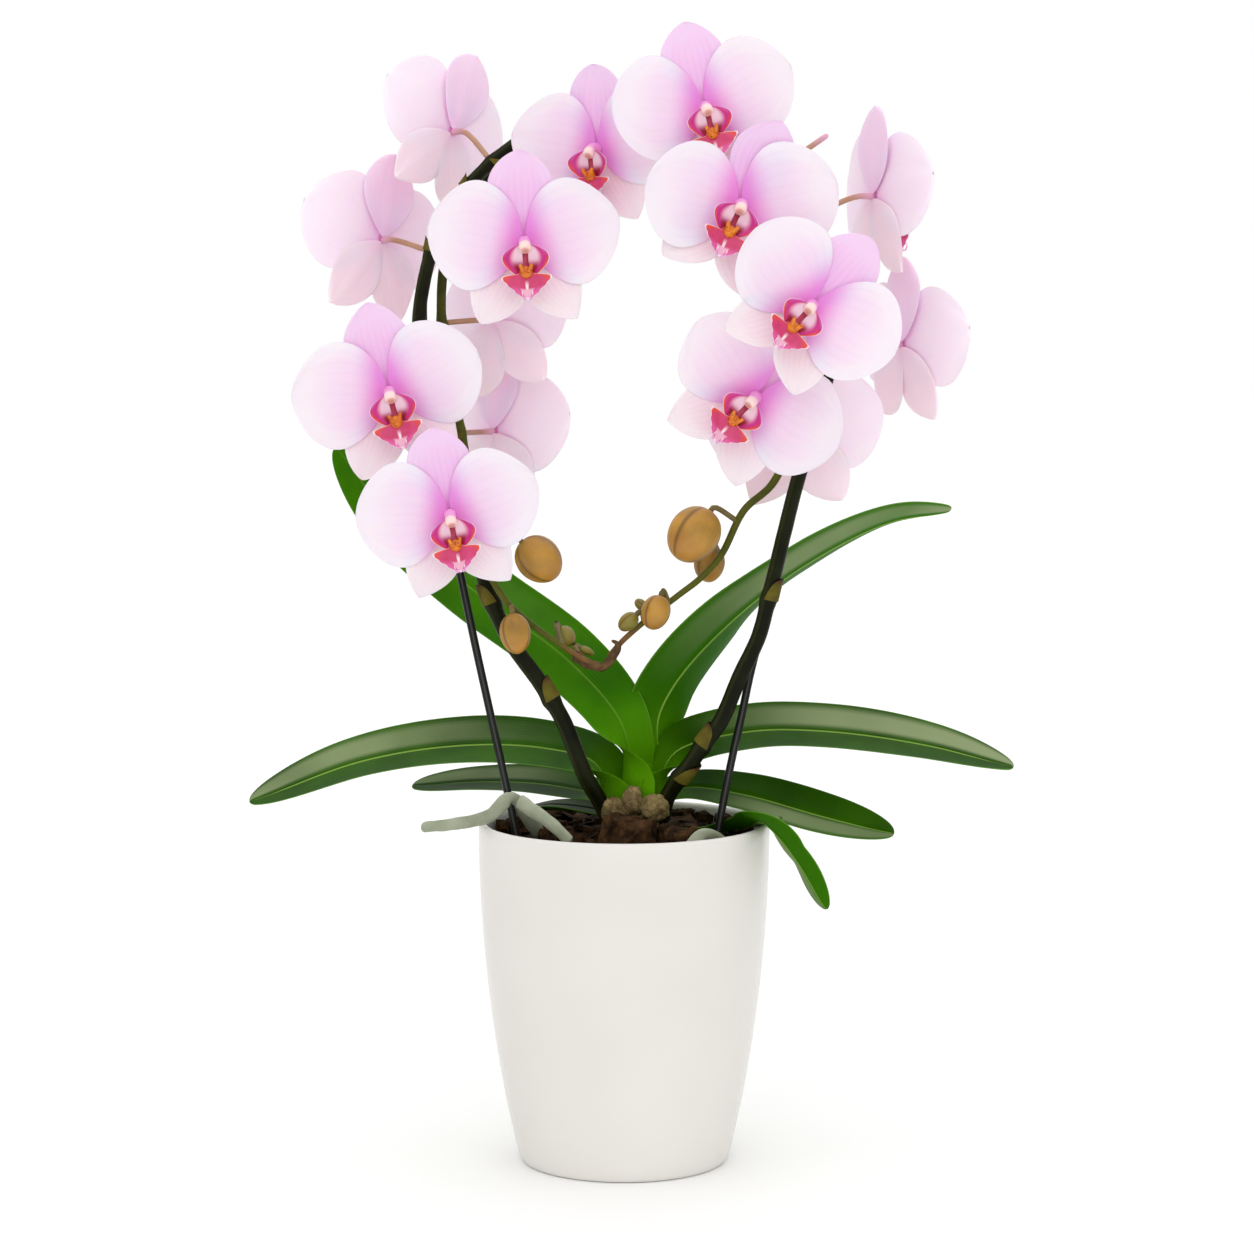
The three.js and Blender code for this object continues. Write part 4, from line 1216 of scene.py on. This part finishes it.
tan_bud = bud_finish("tan_bud", rgb(132, 100, 20), rgb(202, 152, 50), rgb(190, 124, 70))
green_bud = bud_finish("green_bud", rgb(98, 100, 24), rgb(150, 142, 48), rgb(150, 104, 52))
bud_stalk, tree, shader = new_finish("bud_stalk", Roughness=0.5)
patchy = mottle(tree, spot(tree), 90.0, 3.0, 1.6)
connect(tree, shader, mix(tree, patchy, rgb(78, 76, 26), rgb(132, 112, 56)), None, patchy, 0.1, 0.0003)

# %% Bud shapes
RIPE_LENGTH = 7.5
BUDS = [
    ((-40, -22, 137), (0.7, 0.1, -0.7), (12, 10.6), "spike_right"),
    ((-51, -33, 103), (0.15, -0.2, -1), (9.6, 7.3), "spike_right"),
    ((-28, 3, 98), (0.5, 0, -0.7), (5.2, 4.6), "spike_right"),
    ((-18, 3, 91), (0.8, 0.2, -0.4), (4, 2), "spike_right"),
    ((33, -14, 148), (-0.6, -0.3, -0.8), (14, 12.4), "spike_left"),
    ((41, 12, 132), (-0.1, 0.2, -1), (9, 7.6), "spike_left"),
    ((15, -13, 111), (-0.3, -0.2, -0.9), (8.4, 7), "spike_left"),
    ((2, -8, 106), (-0.7, -0.1, -0.6), (5.4, 4.2), "spike_left"),
    ((8, 6, 113), (-0.5, 0.4, 0.4), (3.6, 2.6), "spike_left"),
]
for number, (place, tip, (length, width), spike) in enumerate(BUDS, 1):
    bm = start_piece()
    middle = placed([place])[0]
    way = Vector(tip).normalized()
    aside = way.cross(Vector((0.3, 1, 0.1))).normalized()
    front = aside.cross(way)

    def bud_shape(s, t, side):
        turn = math.atan2(side, s)
        full = width * math.sqrt(max(0, 1 - abs(2 * t**0.93 - 1) ** 1.95))
        seam = 1 - 0.06 * abs(math.cos(1.5 * turn)) ** 12 * (0.3 + t)
        return middle + way * (length * (2 * t - 1)) + (aside * s + front * side) * (full * seam)

    skin(bm, 30, 26, bud_shape, 0)
    joint = spikes[spike].at(spikes[spike].nearest(middle - way * length))
    points = [middle - way * (length - 1.2), middle - way * (length + 2.5), joint]
    stem_between(bm, points, lambda t: STALK_RADIUS, 1)
    body = tan_bud if length > RIPE_LENGTH else green_bud
    finish_piece(f"closed_bud_{number}", bm, [body, bud_stalk], [f"bud_{number}"])
print("buds:", len(BUDS))

# %% [markdown]
# ## Floor, light and camera
#
# A pale floor and soft light keep the attention on the plant. Two broad area lights and a bright sky leave only
# a faint contact shadow, as in a product shot. The sky is greyer at the sides, so that a white pot shows its
# edges, but the camera itself sees plain white. It stands a little above the middle and looks slightly down.

# %% Stage
FLOOR_RADIUS = 9
FULL_FRAME = 36
floor_finish, tree, shader = new_finish("floor", Roughness=0.7)
cloudy = mottle(tree, spot(tree), 2.0, 1.0, 0.6)
connect(tree, shader, mix(tree, cloudy, rgb(250, 250, 249), rgb(252, 252, 251)))
bm = bmesh.new()
bmesh.ops.create_circle(bm, cap_ends=True, segments=96, radius=FLOOR_RADIUS)
mesh = bpy.data.meshes.new("floor")
bm.to_mesh(mesh)
bm.free()
mesh.materials.append(floor_finish)
floor = bpy.data.objects.new("floor", mesh)
bpy.context.scene.collection.objects.link(floor)

world = bpy.data.worlds.new("soft_sky")
world.use_nodes = True
tree = world.node_tree
way = add(tree, "ShaderNodeSeparateXYZ", {0: add(tree, "ShaderNodeTexCoord").outputs["Generated"]})
sides = fade(tree, calc(tree, "ABSOLUTE", way.outputs[0]), 0.25, 0.8)
sky = mix(tree, times(tree, sides, 0.78), (1, 1, 1, 1), (0.3, 0.3, 0.31, 1))
sky = mix(tree, fade(tree, way.outputs[2], 0.3, 0.8), sky, (1.35, 1.35, 1.35, 1))
seen = add(tree, "ShaderNodeLightPath").outputs["Is Camera Ray"]
tree.links.new(mix(tree, seen, sky, (1, 1, 1, 1)), tree.nodes["Background"].inputs["Color"])
bpy.context.scene.world = world


def area_light(name, place, target, size, power):
    data = bpy.data.lights.new(name, "AREA")
    data.size = size
    data.energy = power
    lamp = bpy.data.objects.new(name, data)
    lamp.location = place
    lamp.rotation_euler = (Vector(target) - Vector(place)).to_track_quat("-Z", "Y").to_euler()
    bpy.context.scene.collection.objects.link(lamp)


area_light("key", (-0.2, -2.2, 1.4), (0, 0, 0.3), 1.0, 3)
area_light("fill", (1.0, -1.8, 0.9), (0, 0, 0.3), 1.0, 1)

camera_data = bpy.data.cameras.new("camera")
camera_data.lens = 100.5
camera_data.sensor_width = FULL_FRAME
camera_data.clip_start = 0.05
camera = bpy.data.objects.new("camera", camera_data)
camera.location = (0.0014, -1.666, 0.428)
camera.rotation_euler = (math.radians(84.2), 0, 0)
bpy.context.scene.collection.objects.link(camera)
bpy.context.scene.camera = camera
bpy.context.scene.view_settings.view_transform = "Standard"
print("pieces made:", len(made), "with", sum(len(p.data.polygons) for p in made), "faces")
